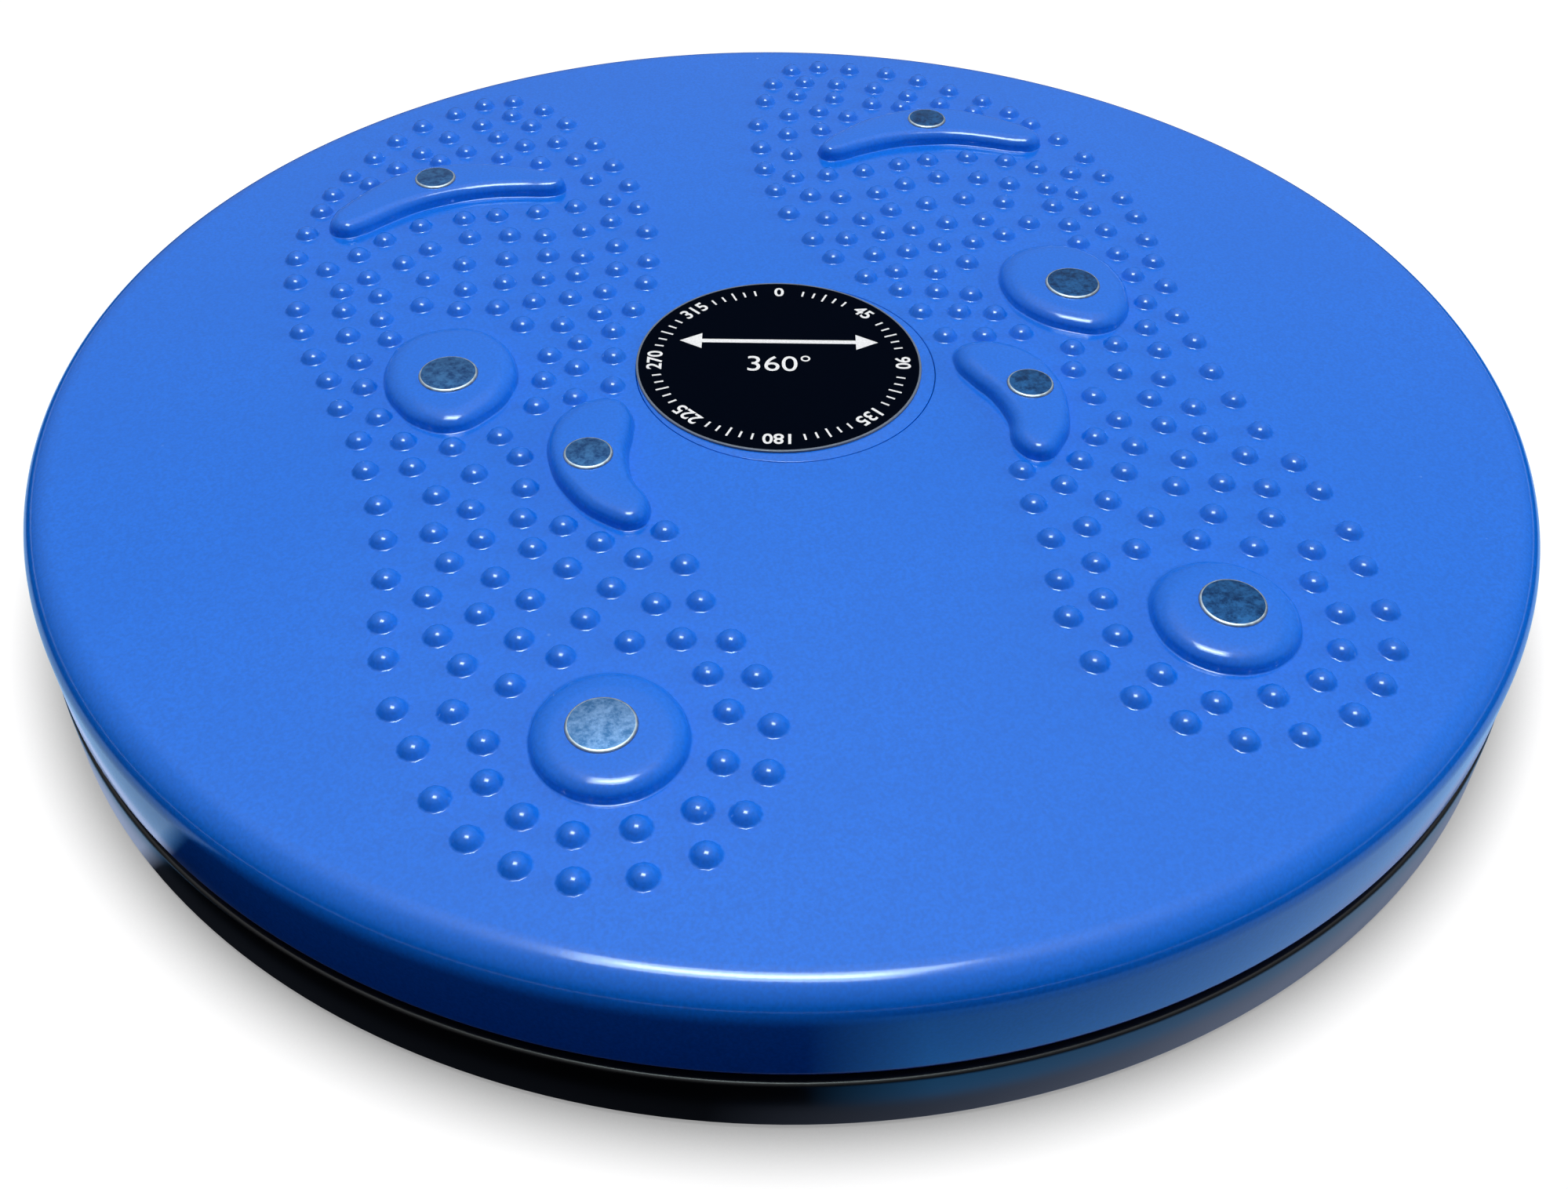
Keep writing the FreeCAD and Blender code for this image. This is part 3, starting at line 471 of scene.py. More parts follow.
def select_where(thing, kind, test):
    """Opens a mesh in edit mode and selects the faces or edges that pass a test."""
    edit(thing, kind, "DESELECT")
    bm = bmesh.from_edit_mesh(thing.data)
    for part in bm.faces if kind == "FACE" else bm.edges:
        if test(part):
            part.select = True
    bmesh.update_edit_mesh(thing.data)


def lift(rise):
    """Extrudes what is selected upwards."""
    bpy.ops.mesh.extrude_region_move(TRANSFORM_OT_translate={"value": (0, 0, rise)})


def arc(centre, radius, start, end, steps):
    """Points of an arc in section, angles in degrees from the outward direction."""
    points = []
    for step in range(steps + 1):
        turn = math.radians(start + (end - start) * step / steps)
        points.append((centre[0] + radius * math.cos(turn), centre[1] + radius * math.sin(turn)))
    return points


# Modelling helpers


def draw_section(name, profile, closed):
    """Polyline of radius and height points in the XZ plane, extruded point by point."""
    deselect()
    place = Vector((profile[0][0], 0, profile[0][1]))
    bpy.ops.mesh.primitive_plane_add(size=MM, location=place)
    thing = named(name)
    rest_at_origin(thing)
    edit(thing)
    bpy.ops.mesh.merge(type="CENTER")
    for radius, height in profile[1:]:
        step = Vector((radius, 0, height)) - place
        bpy.ops.mesh.extrude_region_move(TRANSFORM_OT_translate={"value": step})
        place = place + step
    if closed:
        bm = bmesh.from_edit_mesh(thing.data)
        bm.verts.ensure_lookup_table()
        bm.verts[0].select = True
        bm.verts[-1].select = True
        bmesh.update_edit_mesh(thing.data)
        bpy.ops.mesh.edge_face_add()
    return thing


def turned(name, profile, segments, closed=True):
    """Mesh spun about Z from a section."""
    thing = draw_section(name, profile, closed)
    bpy.ops.mesh.select_all(action="SELECT")
    bpy.ops.mesh.spin(steps=segments, angle=TAU, center=(0, 0, 0), axis=(0, 0, 1))
    heal()
    return thing


def join_by_boolean(body, tool, operation):
    """Unites the body with a tool, or cuts the tool from it, and removes the tool."""
    pick(body)
    modifier = body.modifiers.new("Join", "BOOLEAN")
    modifier.object = tool
    modifier.operation = operation
    modifier.solver = "EXACT"
    bpy.ops.object.modifier_apply(modifier=modifier.name)
    bpy.data.objects.remove(tool)


def joined(pieces, name):
    """Joins pieces into the first one."""
    pick(*pieces)
    bpy.ops.object.join()
    return named(name)


def flat_bar(matrix, size):
    """Bar of a size at a place."""
    deselect()
    bpy.ops.mesh.primitive_cube_add(size=1)
    return settle(matrix @ Matrix.Diagonal((*size, 1)))


def radial_ribs(name, spans, wall_level, depth):
    """Ribs that hang below a wall round the axis, over each span of radii."""
    low, high = wall_level - depth, wall_level + PLAY
    bars = []
    for index in range(RIB_COUNT):
        turn = Matrix.Rotation(TAU * index / RIB_COUNT, 4, "Z")
        for inner, outer in spans:
            inner -= PLAY
            outer += PLAY
            middle = turn @ Matrix.Translation(((inner + outer) / 2, 0, (low + high) / 2))
            bars.append(flat_bar(middle, (outer - inner, RIB_WIDTH, high - low)))
    return joined(bars, name)


def drum(name, radius, low, high, place):
    """Round bar that stands at a place."""
    deselect()
    middle = (place.x, place.y, (low + high) / 2)
    bpy.ops.mesh.primitive_cylinder_add(vertices=64, radius=radius, depth=high - low, location=middle)
    thing = named(name)
    rest_at_origin(thing)
    return thing


def soft_disc(name, radius, low, high, edge, segments, middle=(0, 0)):
    """Disc with a rounded upper edge, at a place."""
    profile = [(0, low), (radius, low)]
    profile += arc((radius - edge, high - edge), edge, 0, 90, steps=4)
    profile.append((0, high))
    disc = turned(name, profile, segments, closed=False)
    disc.location = (middle[0], middle[1], 0)
    rest_at_origin(disc)
    smooth(disc)
    return disc


def smooth_loop(name, points):
    """Closed edge loop on a smooth curve through points, at the level of the plate's top."""
    deselect()
    bpy.ops.curve.primitive_bezier_circle_add(radius=1)
    curve = bpy.context.object
    curve.data.dimensions = "3D"
    spline = curve.data.splines[0]
    spline.bezier_points.add(len(points) - len(spline.bezier_points))
    for knot, (across, along) in zip(spline.bezier_points, points):
        knot.co = (across, along, PLATE_TOP)
        knot.handle_left_type = "AUTO"
        knot.handle_right_type = "AUTO"
    spline.use_cyclic_u = True
    spline.resolution_u = PAD_CURVE_STEPS
    bpy.ops.object.convert(target="MESH")
    loop = named(name)
    rest_at_origin(loop)
    return loop


def turn_area(points):
    """Twice the signed area of a closed outline."""
    total = 0.0
    for index, (across, along) in enumerate(points):
        next_across, next_along = points[(index + 1) % len(points)]
        total += across * next_along - next_across * along
    return total


def fill_at(thing, level):
    """Fills the open flat area at a level, round every opening in it."""
    select_where(thing, "EDGE", lambda edge: len(edge.link_faces) < 2 and at_level(edge, level))
    bpy.ops.mesh.fill(use_beauty=True)
    close()


def mark_flat(thing, level):
    """Keeps the flat face at a level flat-shaded against the soft shapes that rise from it."""
    bm = bmesh.new()
    bm.from_mesh(thing.data)
    for face in bm.faces:
        if at_level(face, level) and abs(face.normal.z) > FLAT:
            for edge in face.edges:
                if not all(at_level(other, level) for other in edge.link_faces):
                    edge.smooth = False
    bm.to_mesh(thing.data)
    bm.free()


# Node materials


def bare_tree(owner, kind="ShaderNodeOutputMaterial"):
    """Node tree with nothing but its output, and the output's surface."""
    owner.use_nodes = True
    tree = owner.node_tree
    tree.nodes.clear()
    return tree, tree.nodes.new(kind).inputs["Surface"]


def new_material(name):
    """Node material with a plain shader."""
    material = bpy.data.materials.new(name)
    tree, surface = bare_tree(material)
    shader = tree.nodes.new("ShaderNodeBsdfPrincipled")
    tree.links.new(shader.outputs["BSDF"], surface)
    return material, tree, shader


def coat(tree, shader, tone, rough, metal=0.0):
    """Gives a shader its colour, roughness and share of metal."""
    feed(tree, shader.inputs["Base Color"], tone)
    feed(tree, shader.inputs["Roughness"], rough)
    feed(tree, shader.inputs["Metallic"], metal)


def feed(tree, socket, source):
    """Links a socket to another one, or gives it a value."""
    if isinstance(source, bpy.types.NodeSocket):
        tree.links.new(source, socket)
    elif socket.type == "RGBA":
        socket.default_value = (*source, 1.0)
    else:
        socket.default_value = source


def add_node(tree, kind, links=(), **values):
    """Node with its settings, and its inputs given as name and source."""
    node = tree.nodes.new(kind)
    for key, value in values.items():
        setattr(node, key, value)
    for name, source in links:
        feed(tree, node.inputs[name], source)
    return node


def object_place(tree):
    """Socket of the place on the object."""
    return add_node(tree, "ShaderNodeTexCoord").outputs["Object"]


def way_out(tree, place):
    """Socket of the distance from the middle of the object."""
    return add_node(tree, "ShaderNodeVectorMath", [("Vector", place)], operation="LENGTH").outputs["Value"]


def noise(tree, place, size, detail=2.0, roughness=0.5):
    """Noise whose blotches have about the given size."""
    links = [("Vector", place), ("Scale", 1 / size), ("Detail", detail), ("Roughness", roughness)]
    return add_node(tree, "ShaderNodeTexNoise", links).outputs["Fac"]


def ramp(tree, value, low, high, low_out=0.0, high_out=1.0):
    """Value carried from one range to another, held at both ends."""
    limits = [("From Min", low), ("From Max", high), ("To Min", low_out), ("To Max", high_out)]
    return add_node(tree, "ShaderNodeMapRange", [("Value", value)] + limits, clamp=True).outputs["Result"]


def spread(tree, value, low_out=0.0, high_out=1.0):
    """Noise's usual range carried to another one."""
    return ramp(tree, value, *NOISE_RANGE, low_out, high_out)


def mixed(tree, factor, first, second):
    """Mix of two colours."""
    links = [(0, factor), (6, first), (7, second)]
    return add_node(tree, "ShaderNodeMix", links, data_type="RGBA").outputs[2]


def maths(tree, operation, first, second):
    """One sum on values or sockets."""
    return add_node(tree, "ShaderNodeMath", [(0, first), (1, second)], operation=operation).outputs[0]


def add_bump(tree, shader, height, distance, strength):
    """Fine relief on a shader."""
    links = [("Height", height), ("Distance", distance), ("Strength", strength)]
    feed(tree, shader.inputs["Normal"], add_node(tree, "ShaderNodeBump", links).outputs["Normal"])


def blend(tree, factor, first, second):
    """Mix of two shaders."""
    links = [("Fac", factor), (1, first.outputs[0]), (2, second.outputs[0])]
    return add_node(tree, "ShaderNodeMixShader", links)


def scaled(shade, factor):
    """Colour made lighter or darker."""
    return tuple(min(1.0, part * factor) for part in shade)


def moulded_plastic(name, shade, rough, grain=0.1, specks_and_glints=0.0):
    """Moulded plastic with a fine grain, faint clouds, and a few pale specks, partly painted glints of the
    lamp in small dents.
    """
    material, tree, shader = new_material(name)
    place = object_place(tree)
    clouds = noise(tree, place, 30 * MM)
    fine = noise(tree, place, 0.5 * MM, detail=1.0)
    dark, light = scaled(shade, 1 - grain), scaled(shade, 1 + grain)
    tone = mixed(tree, spread(tree, fine), dark, light)
    tone = mixed(tree, ramp(tree, clouds, *CLOUD_FADE), tone, dark)
    if specks_and_glints:
        tone = mixed(tree, speck_and_glint_mask(tree, place, specks_and_glints), tone, SPECK_AND_GLINT_COLOUR)
    coat(tree, shader, tone, spread(tree, clouds, rough * 0.88, rough * 1.12))
    add_bump(tree, shader, fine, 0.01 * MM, 0.35)
    return material


def speck_and_glint_mask(tree, place, amount):
    """Few small pale specks, partly painted glints, where a cell noise and a cloud noise are both high."""
    cells = add_node(tree, "ShaderNodeTexVoronoi", [("Vector", place), ("Scale", SPECK_AND_GLINT_SCALE)])
    speck = ramp(tree, cells.outputs["Distance"], *SPECK_AND_GLINT_DOT)
    patch = ramp(tree, noise(tree, place, SPECK_AND_GLINT_PATCH_SIZE), *SPECK_AND_GLINT_PATCH)
    return maths(tree, "MULTIPLY", maths(tree, "MULTIPLY", speck, patch), amount)


def plated_metal(name, light, dark):
    """Dull plating with blotches and fine scratches."""
    material, tree, shader = new_material(name)
    place = object_place(tree)
    blotches = noise(tree, place, 1.4 * MM, detail=4.0, roughness=0.7)
    fine = noise(tree, place, 0.4 * MM)
    tone = mixed(tree, ramp(tree, blotches, 0.38, 0.62), dark, light)
    tone = mixed(tree, ramp(tree, fine, 0.55, 0.75, 0.0, 0.3), tone, scaled(light, 1.5))
    coat(tree, shader, tone, spread(tree, blotches, *PLATING_ROUGHNESS), PLATING_METAL)
    add_bump(tree, shader, fine, 0.02 * MM, 0.4)
    return material


def bright_steel(name, shade, rough):
    """Bright steel with fine turning marks."""
    material, tree, shader = new_material(name)
    marks = noise(tree, object_place(tree), 0.8 * MM, detail=3.0)
    tone = mixed(tree, spread(tree, marks), scaled(shade, 0.85), scaled(shade, 1.1))
    coat(tree, shader, tone, spread(tree, marks, rough * 0.8, rough * 1.2), 1.0)
    return material


def print_ink(name, shade, rough, shine=0.5):
    """Printed ink with a faint speckle."""
    material, tree, shader = new_material(name)
    fine = noise(tree, object_place(tree), 0.3 * MM, detail=1.0)
    tone = mixed(tree, spread(tree, fine), scaled(shade, 0.9), scaled(shade, 1.1))
    coat(tree, shader, tone, rough)
    feed(tree, shader.inputs["Specular IOR Level"], shine)
    return material


def wear(thing, *materials):
    """Gives a piece its materials."""
    thing.data.materials.clear()
    for material in materials:
        thing.data.materials.append(material)


def dress_nodes(names, material):
    """Gives nodes of the frame a material."""
    for name in names:
        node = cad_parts[name]
        if not node.material_slots:
            node.data.materials.append(material)
        for slot in node.material_slots:
            slot.material = material


def hand_over(thing, body, slot, *nodes):
    """Ties a finished piece to its body and the nodes that it stands for; its finish is not used."""
    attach(thing, body)
    if nodes:
        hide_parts(*nodes)


def race_seat(outer, back, face, lip):
    """Section of a race's seat from the inside outwards: levels of its back, the wall and its lips."""
    half = [
        (outer - SEAT_STEP, face), (outer - SEAT_STEP, back), (outer + PLAY, back),
        (outer + PLAY, lip), (outer + PLAY + SEAT_STEP, lip), (outer + PLAY + SEAT_STEP, face),
    ]
    middle = outer - RACE_WIDTH / 2
    return [(2 * middle - radius, height) for radius, height in reversed(half)] + half


# Foot plate


def side_points(shares, side):
    """Places of a foot print on one side, in order round the outline."""
    points = [(side * across * FOOTPRINT_HALF, along * FOOTPRINT_HALF) for across, along in shares]
    if turn_area(points) < 0:
        points.reverse()
    return points


def plate_profile(plate):
    """Section of the plate from the edge of the plug's seat round the inside to the top face."""
    under = PLATE_TOP - plate.wall
    race_back = UPPER_RACE_HIGH.z
    hub_bottom = BUSH_HIGH.z + PLAY
    skirt_inner = PLATE_RADIUS - plate.wall
    cap_edge = CAP_HIGH.x + PLAY
    lip = SKIRT_LIP
    edge = plate.edge_radius
    profile = [
        (cap_edge + PLAY, PLATE_TOP), (cap_edge, PLATE_TOP - PLAY), (cap_edge, CAP_LOW.z),
        (HEAD_POCKET, CAP_LOW.z), (HEAD_POCKET, HEAD_SEAT), (BOLT_BORE, HEAD_SEAT),
        (BOLT_BORE, hub_bottom), (HUB_RADIUS, hub_bottom), (HUB_RADIUS, under),
    ]
    profile += race_seat(UPPER_RACE_HIGH.x, race_back, under, race_back - SEAT_LIP)
    profile += [
        (skirt_inner - SEAT_STEP, under), (skirt_inner, under - SEAT_STEP), (skirt_inner, SKIRT_BOTTOM),
    ]
    profile += arc((PLATE_RADIUS - lip, SKIRT_BOTTOM + lip), lip, -90, 0, steps=6)
    profile += arc((PLATE_RADIUS - SKIRT_DRAFT - edge, PLATE_TOP - edge), edge, 0, 90, steps=14)
    return profile


def make_shell(plate):
    """Plate with ribs below, and its flat top taken away so that the relief can be let in."""
    shell = turned("foot_plate_moulding", plate_profile(plate), plate.segments)
    outer_seat = UPPER_RACE_HIGH.x + PLAY + SEAT_STEP
    inner_seat = UPPER_RACE_HIGH.x - RACE_WIDTH - PLAY - SEAT_STEP
    spans = ((HUB_RADIUS, inner_seat), (outer_seat, PLATE_RADIUS - plate.wall))
    ribs = radial_ribs("plate_ribs", spans, PLATE_TOP - plate.wall, PLATE_RIB_DEPTH)
    join_by_boolean(shell, ribs, "UNION")
    select_where(shell, "FACE", lambda face: at_level(face, PLATE_TOP))
    bpy.ops.mesh.delete(type="ONLY_FACE")
    bpy.ops.mesh.select_mode(type="VERT")
    bpy.ops.mesh.select_all(action="SELECT")
    bpy.ops.mesh.delete_loose(use_verts=True, use_edges=True, use_faces=False)
    close()
    return shell


def make_dome(plate):
    """Small dome with a soft foot, open below, at the middle of the plate's top."""
    deselect()
    bpy.ops.mesh.primitive_circle_add(vertices=DOME_SIDES, radius=DOME_FOOT, fill_type="NOTHING")
    dome = named("dome")
    edit(dome)
    radius = 1.0
    level = 0.0
    for radius_share, height_share in DOME_SECTION_SHARES:
        lift((height_share - level) * plate.dome_height)
        narrow = radius_share / radius
        bpy.ops.transform.resize(value=(narrow, narrow, 1), center_override=(0, 0, 0))
        radius = radius_share
        level = height_share
    lift((1 - level) * plate.dome_height)
    bpy.ops.mesh.merge(type="CENTER")
    heal()
    return dome


def make_domes(plate):
    """All domes of both foot prints, copied from one."""
    dome = make_dome(plate)
    copies = []
    for across, along in TOE_DOME_SHARES + BALL_DOME_SHARES + ARCH_DOME_SHARES + HEEL_DOME_SHARES:
        for _, side in SIDES:
            place = Vector((side * across * FOOTPRINT_HALF, along * FOOTPRINT_HALF, PLATE_TOP))
            copy = dome.copy()
            copy.data = dome.data.copy()
            copy.matrix_world = Matrix.Translation(place) @ Matrix.Rotation(TAU * (across + along), 4, "Z")
            bpy.context.scene.collection.objects.link(copy)
            copies.append(copy)
    bpy.data.objects.remove(dome)
    domes = joined(copies, "domes")
    rest_at_origin(domes)
    return domes


def outward_ways(places):
    """Outward direction at each point of a closed outline."""
    side = 1 if turn_area([(place.x, place.y) for place in places]) > 0 else -1
    ways = []
    for index in range(len(places)):
        along = (places[(index + 1) % len(places)] - places[index - 1]).normalized()
        ways.append(Vector((along.y, -along.x, 0)) * side)
    return ways


def number_outline(loop, distance):
    """Numbers the points of a closed outline, and gives their places, moved outwards."""
    order = loop.data.attributes.new("order", "INT", "POINT")
    for index, row in enumerate(order.data):
        row.value = index
    places = [vertex.co.copy() for vertex in loop.data.vertices]
    return [place + way * distance for place, way in zip(places, outward_ways(places))]


def near_by(shares, index, pick_one):
    """One value from the shares of a point and its neighbours on a closed outline."""
    reach = range(-PAD_CURVE_STEPS, PAD_CURVE_STEPS + 1)
    return pick_one([shares[(index + step) % len(shares)] for step in reach])


def room_inside(places, outwards, most, middle, radius):
    """Share of the greatest inset that there is room for at each point, evened along the outline.

    The inset stops short of the magnet's socket, which has the given middle and radius.
    """
    shares = []
    for place, outward in zip(places, outwards):
        room = most
        for other in places:
            gap = other - place
            depth = -gap.dot(outward)
            if depth > NEAR:
                room = min(room, PAD_ROOM_SHARE * gap.length_squared / (2 * depth))
        gap = Vector((middle.x - place.x, middle.y - place.y, 0))
        depth = -gap.dot(outward)
        aside = radius ** 2 - gap.length_squared + depth ** 2
        if depth > 0 and aside > 0:
            room = min(room, depth - math.sqrt(aside))
        shares.append(room / most)
    least = [near_by(shares, index, min) for index in range(len(shares))]
    return [near_by(least, index, fmean) for index in range(len(least))]


def pad_section(edge_radius, plate):
    """Steps of a pad's wall, each an inset and a height, from its foot to its flat top."""
    section = [(PAD_FOOT * across, PAD_FOOT * up) for across, up in PAD_FOOT_SHARES]
    wall = PAD_FOOT + PAD_DRAFT
    low = max(plate.pad_height - edge_radius, section[-1][1] + PAD_DRAFT)
    rise = plate.pad_height - low
    for step in range(PAD_EDGE_STEPS + 1):
        turn = math.pi / 2 * step / PAD_EDGE_STEPS
        section.append((wall + edge_radius * (1 - math.cos(turn)), low + rise * math.sin(turn)))
    return section


def draw_in(mesh, places, outwards, shares, inset, level, plate):
    """Sets the selected loop of a pad inwards from its numbered outline, at a level.

    The side towards the toes reaches out further, as it falls off gently.
    """
    fall = 1 - math.acos(1 - 2 * level / plate.pad_height) / math.pi
    bm = bmesh.from_edit_mesh(mesh)
    layer = bm.verts.layers.int["order"]
    for vertex in bm.verts:
        if vertex.select:
            index = vertex[layer]
            way = outwards[index]
            reach = PAD_SLOPE * max(0.0, way.y) ** 2 * fall
            vertex.co = places[index] - way * (inset * shares[index] - reach)
            vertex.co.z = PLATE_TOP + level
    bmesh.update_edit_mesh(mesh)


def make_socket(middle, radius, top, bottom):
    """Round socket, open at the top."""
    deselect()
    place = (middle.x, middle.y, top)
    kind = {"vertices": SOCKET_FACETS, "fill_type": "NOTHING"}
    bpy.ops.mesh.primitive_circle_add(radius=radius, location=place, **kind)
    socket = named("magnet_socket")
    rest_at_origin(socket)
    edit(socket)
    lift(bottom - top)
    bpy.ops.mesh.edge_face_add()
    heal(inside=True)
    return socket


def make_pad(name, points, edge_radius, plate, magnet):
    """Raised pad with a soft foot, a rounded upper edge, and a socket for its magnet."""
    loop = smooth_loop(name, points)
    places = number_outline(loop, PAD_FOOT / 2)
    outwards = outward_ways(places)
    section = pad_section(edge_radius, plate)
    low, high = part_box(magnet)
    middle = (low + high) / 2
    radius = (high.x - low.x) / 2 + MAGNET_PLAY
    shares = room_inside(places, outwards, section[-1][0], middle, radius + PLAY)
    edit(loop)
    draw_in(loop.data, places, outwards, shares, 0.0, 0.0, plate)
    height = 0.0
    for inset, level in section:
        bpy.ops.mesh.extrude_edges_move(TRANSFORM_OT_translate={"value": (0, 0, level - height)})
        draw_in(loop.data, places, outwards, shares, inset, level, plate)
        height = level
    close()
    loop.data.attributes.remove(loop.data.attributes["order"])
    top = PLATE_TOP + plate.pad_height
    pad = joined([loop, make_socket(middle, radius, top, low.z)], name)
    fill_at(pad, top)
    return pad


def make_pads(plate):
    """Eight pads, each with its magnet's socket."""
    heel_circle = []
    for step in range(HEEL_PAD_KNOTS):
        turn = TAU * step / HEEL_PAD_KNOTS
        across = HEEL_PAD_CENTRE_SHARE[0] + HEEL_PAD_RADIUS_SHARE * math.cos(turn)
        along = HEEL_PAD_CENTRE_SHARE[1] + HEEL_PAD_RADIUS_SHARE * math.sin(turn)
        heel_circle.append((across, along))
    kinds = (
        ("heel", heel_circle, 1.0),
        ("arch", ARCH_PAD_SHARES, 0.95),
        ("ball", BALL_PAD_SHARES, 1.0),
        ("toe", TOE_PAD_SHARES, 0.8),
    )
    pads = []
    for kind, shares, edge_share in kinds:
        for side_name, side in SIDES:
            points = side_points(shares, side)
            magnet = "%s_magnet_%s" % (kind, side_name)
            name = "%s_pad_%s" % (kind, side_name)
            pads.append(make_pad(name, points, plate.pad_edge * edge_share, plate, magnet))
    return pads


class DISC_OT_foot_plate(bpy.types.Operator):
    """Model the blue foot plate with its domes and pads"""
    bl_idname = "disc.foot_plate"
    bl_label = "Foot plate"

    def execute(self, context):
        plate = context.scene.disc_plate
        pieces = [make_shell(plate), make_domes(plate)] + make_pads(plate)
        moulding = joined(pieces, "foot_plate_moulding")
        fill_at(moulding, PLATE_TOP)
        edit(moulding)
        heal()
        smooth(moulding, degrees=42)
        mark_flat(moulding, PLATE_TOP)
        wear(moulding, moulded_plastic("blue_moulded_plastic", plate.colour, plate.roughness, specks_and_glints=0.5))
        hand_over(moulding, "turntable", "blue_plastic", "foot_plate")
        return {"FINISHED"}


# Plug and printed disc


class DISC_OT_hub_cap(bpy.types.Operator):
    """Model the plug in the middle of the plate"""
    bl_idname = "disc.hub_cap"
    bl_label = "Hub cap"

    def execute(self, context):
        plate = context.scene.disc_plate
        levels = (CAP_LOW.z, CAP_HIGH.z)
        cap = soft_disc("hub_cap_moulding", CAP_HIGH.x, *levels, CAP_EDGE, plate.segments // 2)
        wear(cap, moulded_plastic("blue_cap_plastic", plate.colour, plate.roughness))
        hand_over(cap, "turntable", "blue_plastic", "hub_cap")
        return {"FINISHED"}


def dial_spot(turn, across, along):
    """Place on the printed disc, turned about its middle."""
    middle = Matrix.Translation((LABEL_MIDDLE.x, LABEL_MIDDLE.y, INK_LEVEL))
    return middle @ Matrix.Rotation(turn, 4, "Z") @ Matrix.Translation((across, along, 0))


def flat_text(body, height, spot, weight_share=DIAL_WEIGHT_SHARE):
    """Number on the dial, as a thin mesh."""
    deselect()
    bpy.ops.object.text_add()
    text = bpy.context.object.data
    text.body = body
    text.size = height * DIAL_LETTER_SHARE
    text.align_x = "CENTER"
    text.align_y = "CENTER"
    text.extrude = INK_THICKNESS / 2
    text.offset = height * weight_share
    bpy.ops.object.convert(target="MESH")
    return settle(spot)


class DISC_OT_centre_label(bpy.types.Operator):
    """Model the printed disc with a plain dial"""
    bl_idname = "disc.centre_label"
    bl_label = "Centre label"

    def execute(self, context):
        label = context.scene.disc_label
        edge = (LABEL_HIGH.z - LABEL_LOW.z) / 3
        levels = (LABEL_LOW.z, LABEL_HIGH.z)
        disc = soft_disc("centre_label_disc", LABEL_RADIUS, *levels, edge, LABEL_FACETS, LABEL_MIDDLE)
        ground = print_ink("black_print", label.ground, 0.5, 0.005)
        wear(disc, ground, print_ink("silver_print_edge", label.edge, 0.35))
        self.silver_edge(disc, label)
        hand_over(disc, "turntable", "print", "centre_label")
        pieces = self.numbers(label) + self.arrow(label)
        spot = dial_spot(DIAL_TURN, 0, -DIAL_TITLE_DROP)
        pieces.append(flat_text("360°", label.number_height * DIAL_TITLE_SHARE, spot, 0.0))
        marks = joined(pieces, "centre_label_dial_marks")
        wear(marks, print_ink("white_print", label.ink, 0.4))
        hand_over(marks, "turntable", "print")
        return {"FINISHED"}

    def silver_edge(self, disc, label):
        """Gives the rim of the disc its silver edge."""
        top = LABEL_HIGH.z - NEAR
        select_where(disc, "FACE", lambda face: face.normal.z > FLAT and face.calc_center_median().z > top)
        bpy.ops.mesh.inset(thickness=label.edge_width, depth=0)
        bm = bmesh.from_edit_mesh(disc.data)
        for face in bm.faces:
            face.material_index = 0 if face.select else 1
        bmesh.update_edit_mesh(disc.data)
        close()

    def numbers(self, label):
        """Numbers round the dial, and the marks between them."""
        dial = LABEL_RADIUS * DIAL_SHARE
        pieces = []
        for index in range(DIAL_NUMBERS):
            turn = -TAU * index / DIAL_NUMBERS + DIAL_TURN
            text = "%d" % (360 * index / DIAL_NUMBERS)
            pieces.append(flat_text(text, label.number_height, dial_spot(turn, 0, dial)))
            for mark in range(-DIAL_MARKS, DIAL_MARKS + 1):
                mark_turn = turn + TAU / DIAL_NUMBERS * (0.5 + mark * DIAL_MARK_STEP_SHARE)
                tall = label.number_height * (DIAL_MARK_SHARE if mark else DIAL_MIDDLE_MARK_SHARE)
                size = (label.mark_width, tall, INK_THICKNESS)
                pieces.append(flat_bar(dial_spot(mark_turn, 0, dial), size))
        return pieces

    def arrow(self, label):
        """Double arrow across the middle of the dial."""
        reach = LABEL_RADIUS * DIAL_ARROW_SHARE
        size = label.number_height
        pieces = []
        for side in (-1, 1):
            deselect()
            bpy.ops.mesh.primitive_cylinder_add(vertices=3, radius=size, depth=INK_THICKNESS)
            spot = dial_spot(DIAL_TURN, side * reach, DIAL_ARROW_RISE)
            pieces.append(settle(spot @ Matrix.Rotation(-side * math.pi / 2, 4, "Z")))
        bar = (2 * reach - size, size * DIAL_ARROW_BAR_SHARE, INK_THICKNESS)
        pieces.append(flat_bar(dial_spot(DIAL_TURN, 0, DIAL_ARROW_RISE), bar))
        return pieces


# Magnets


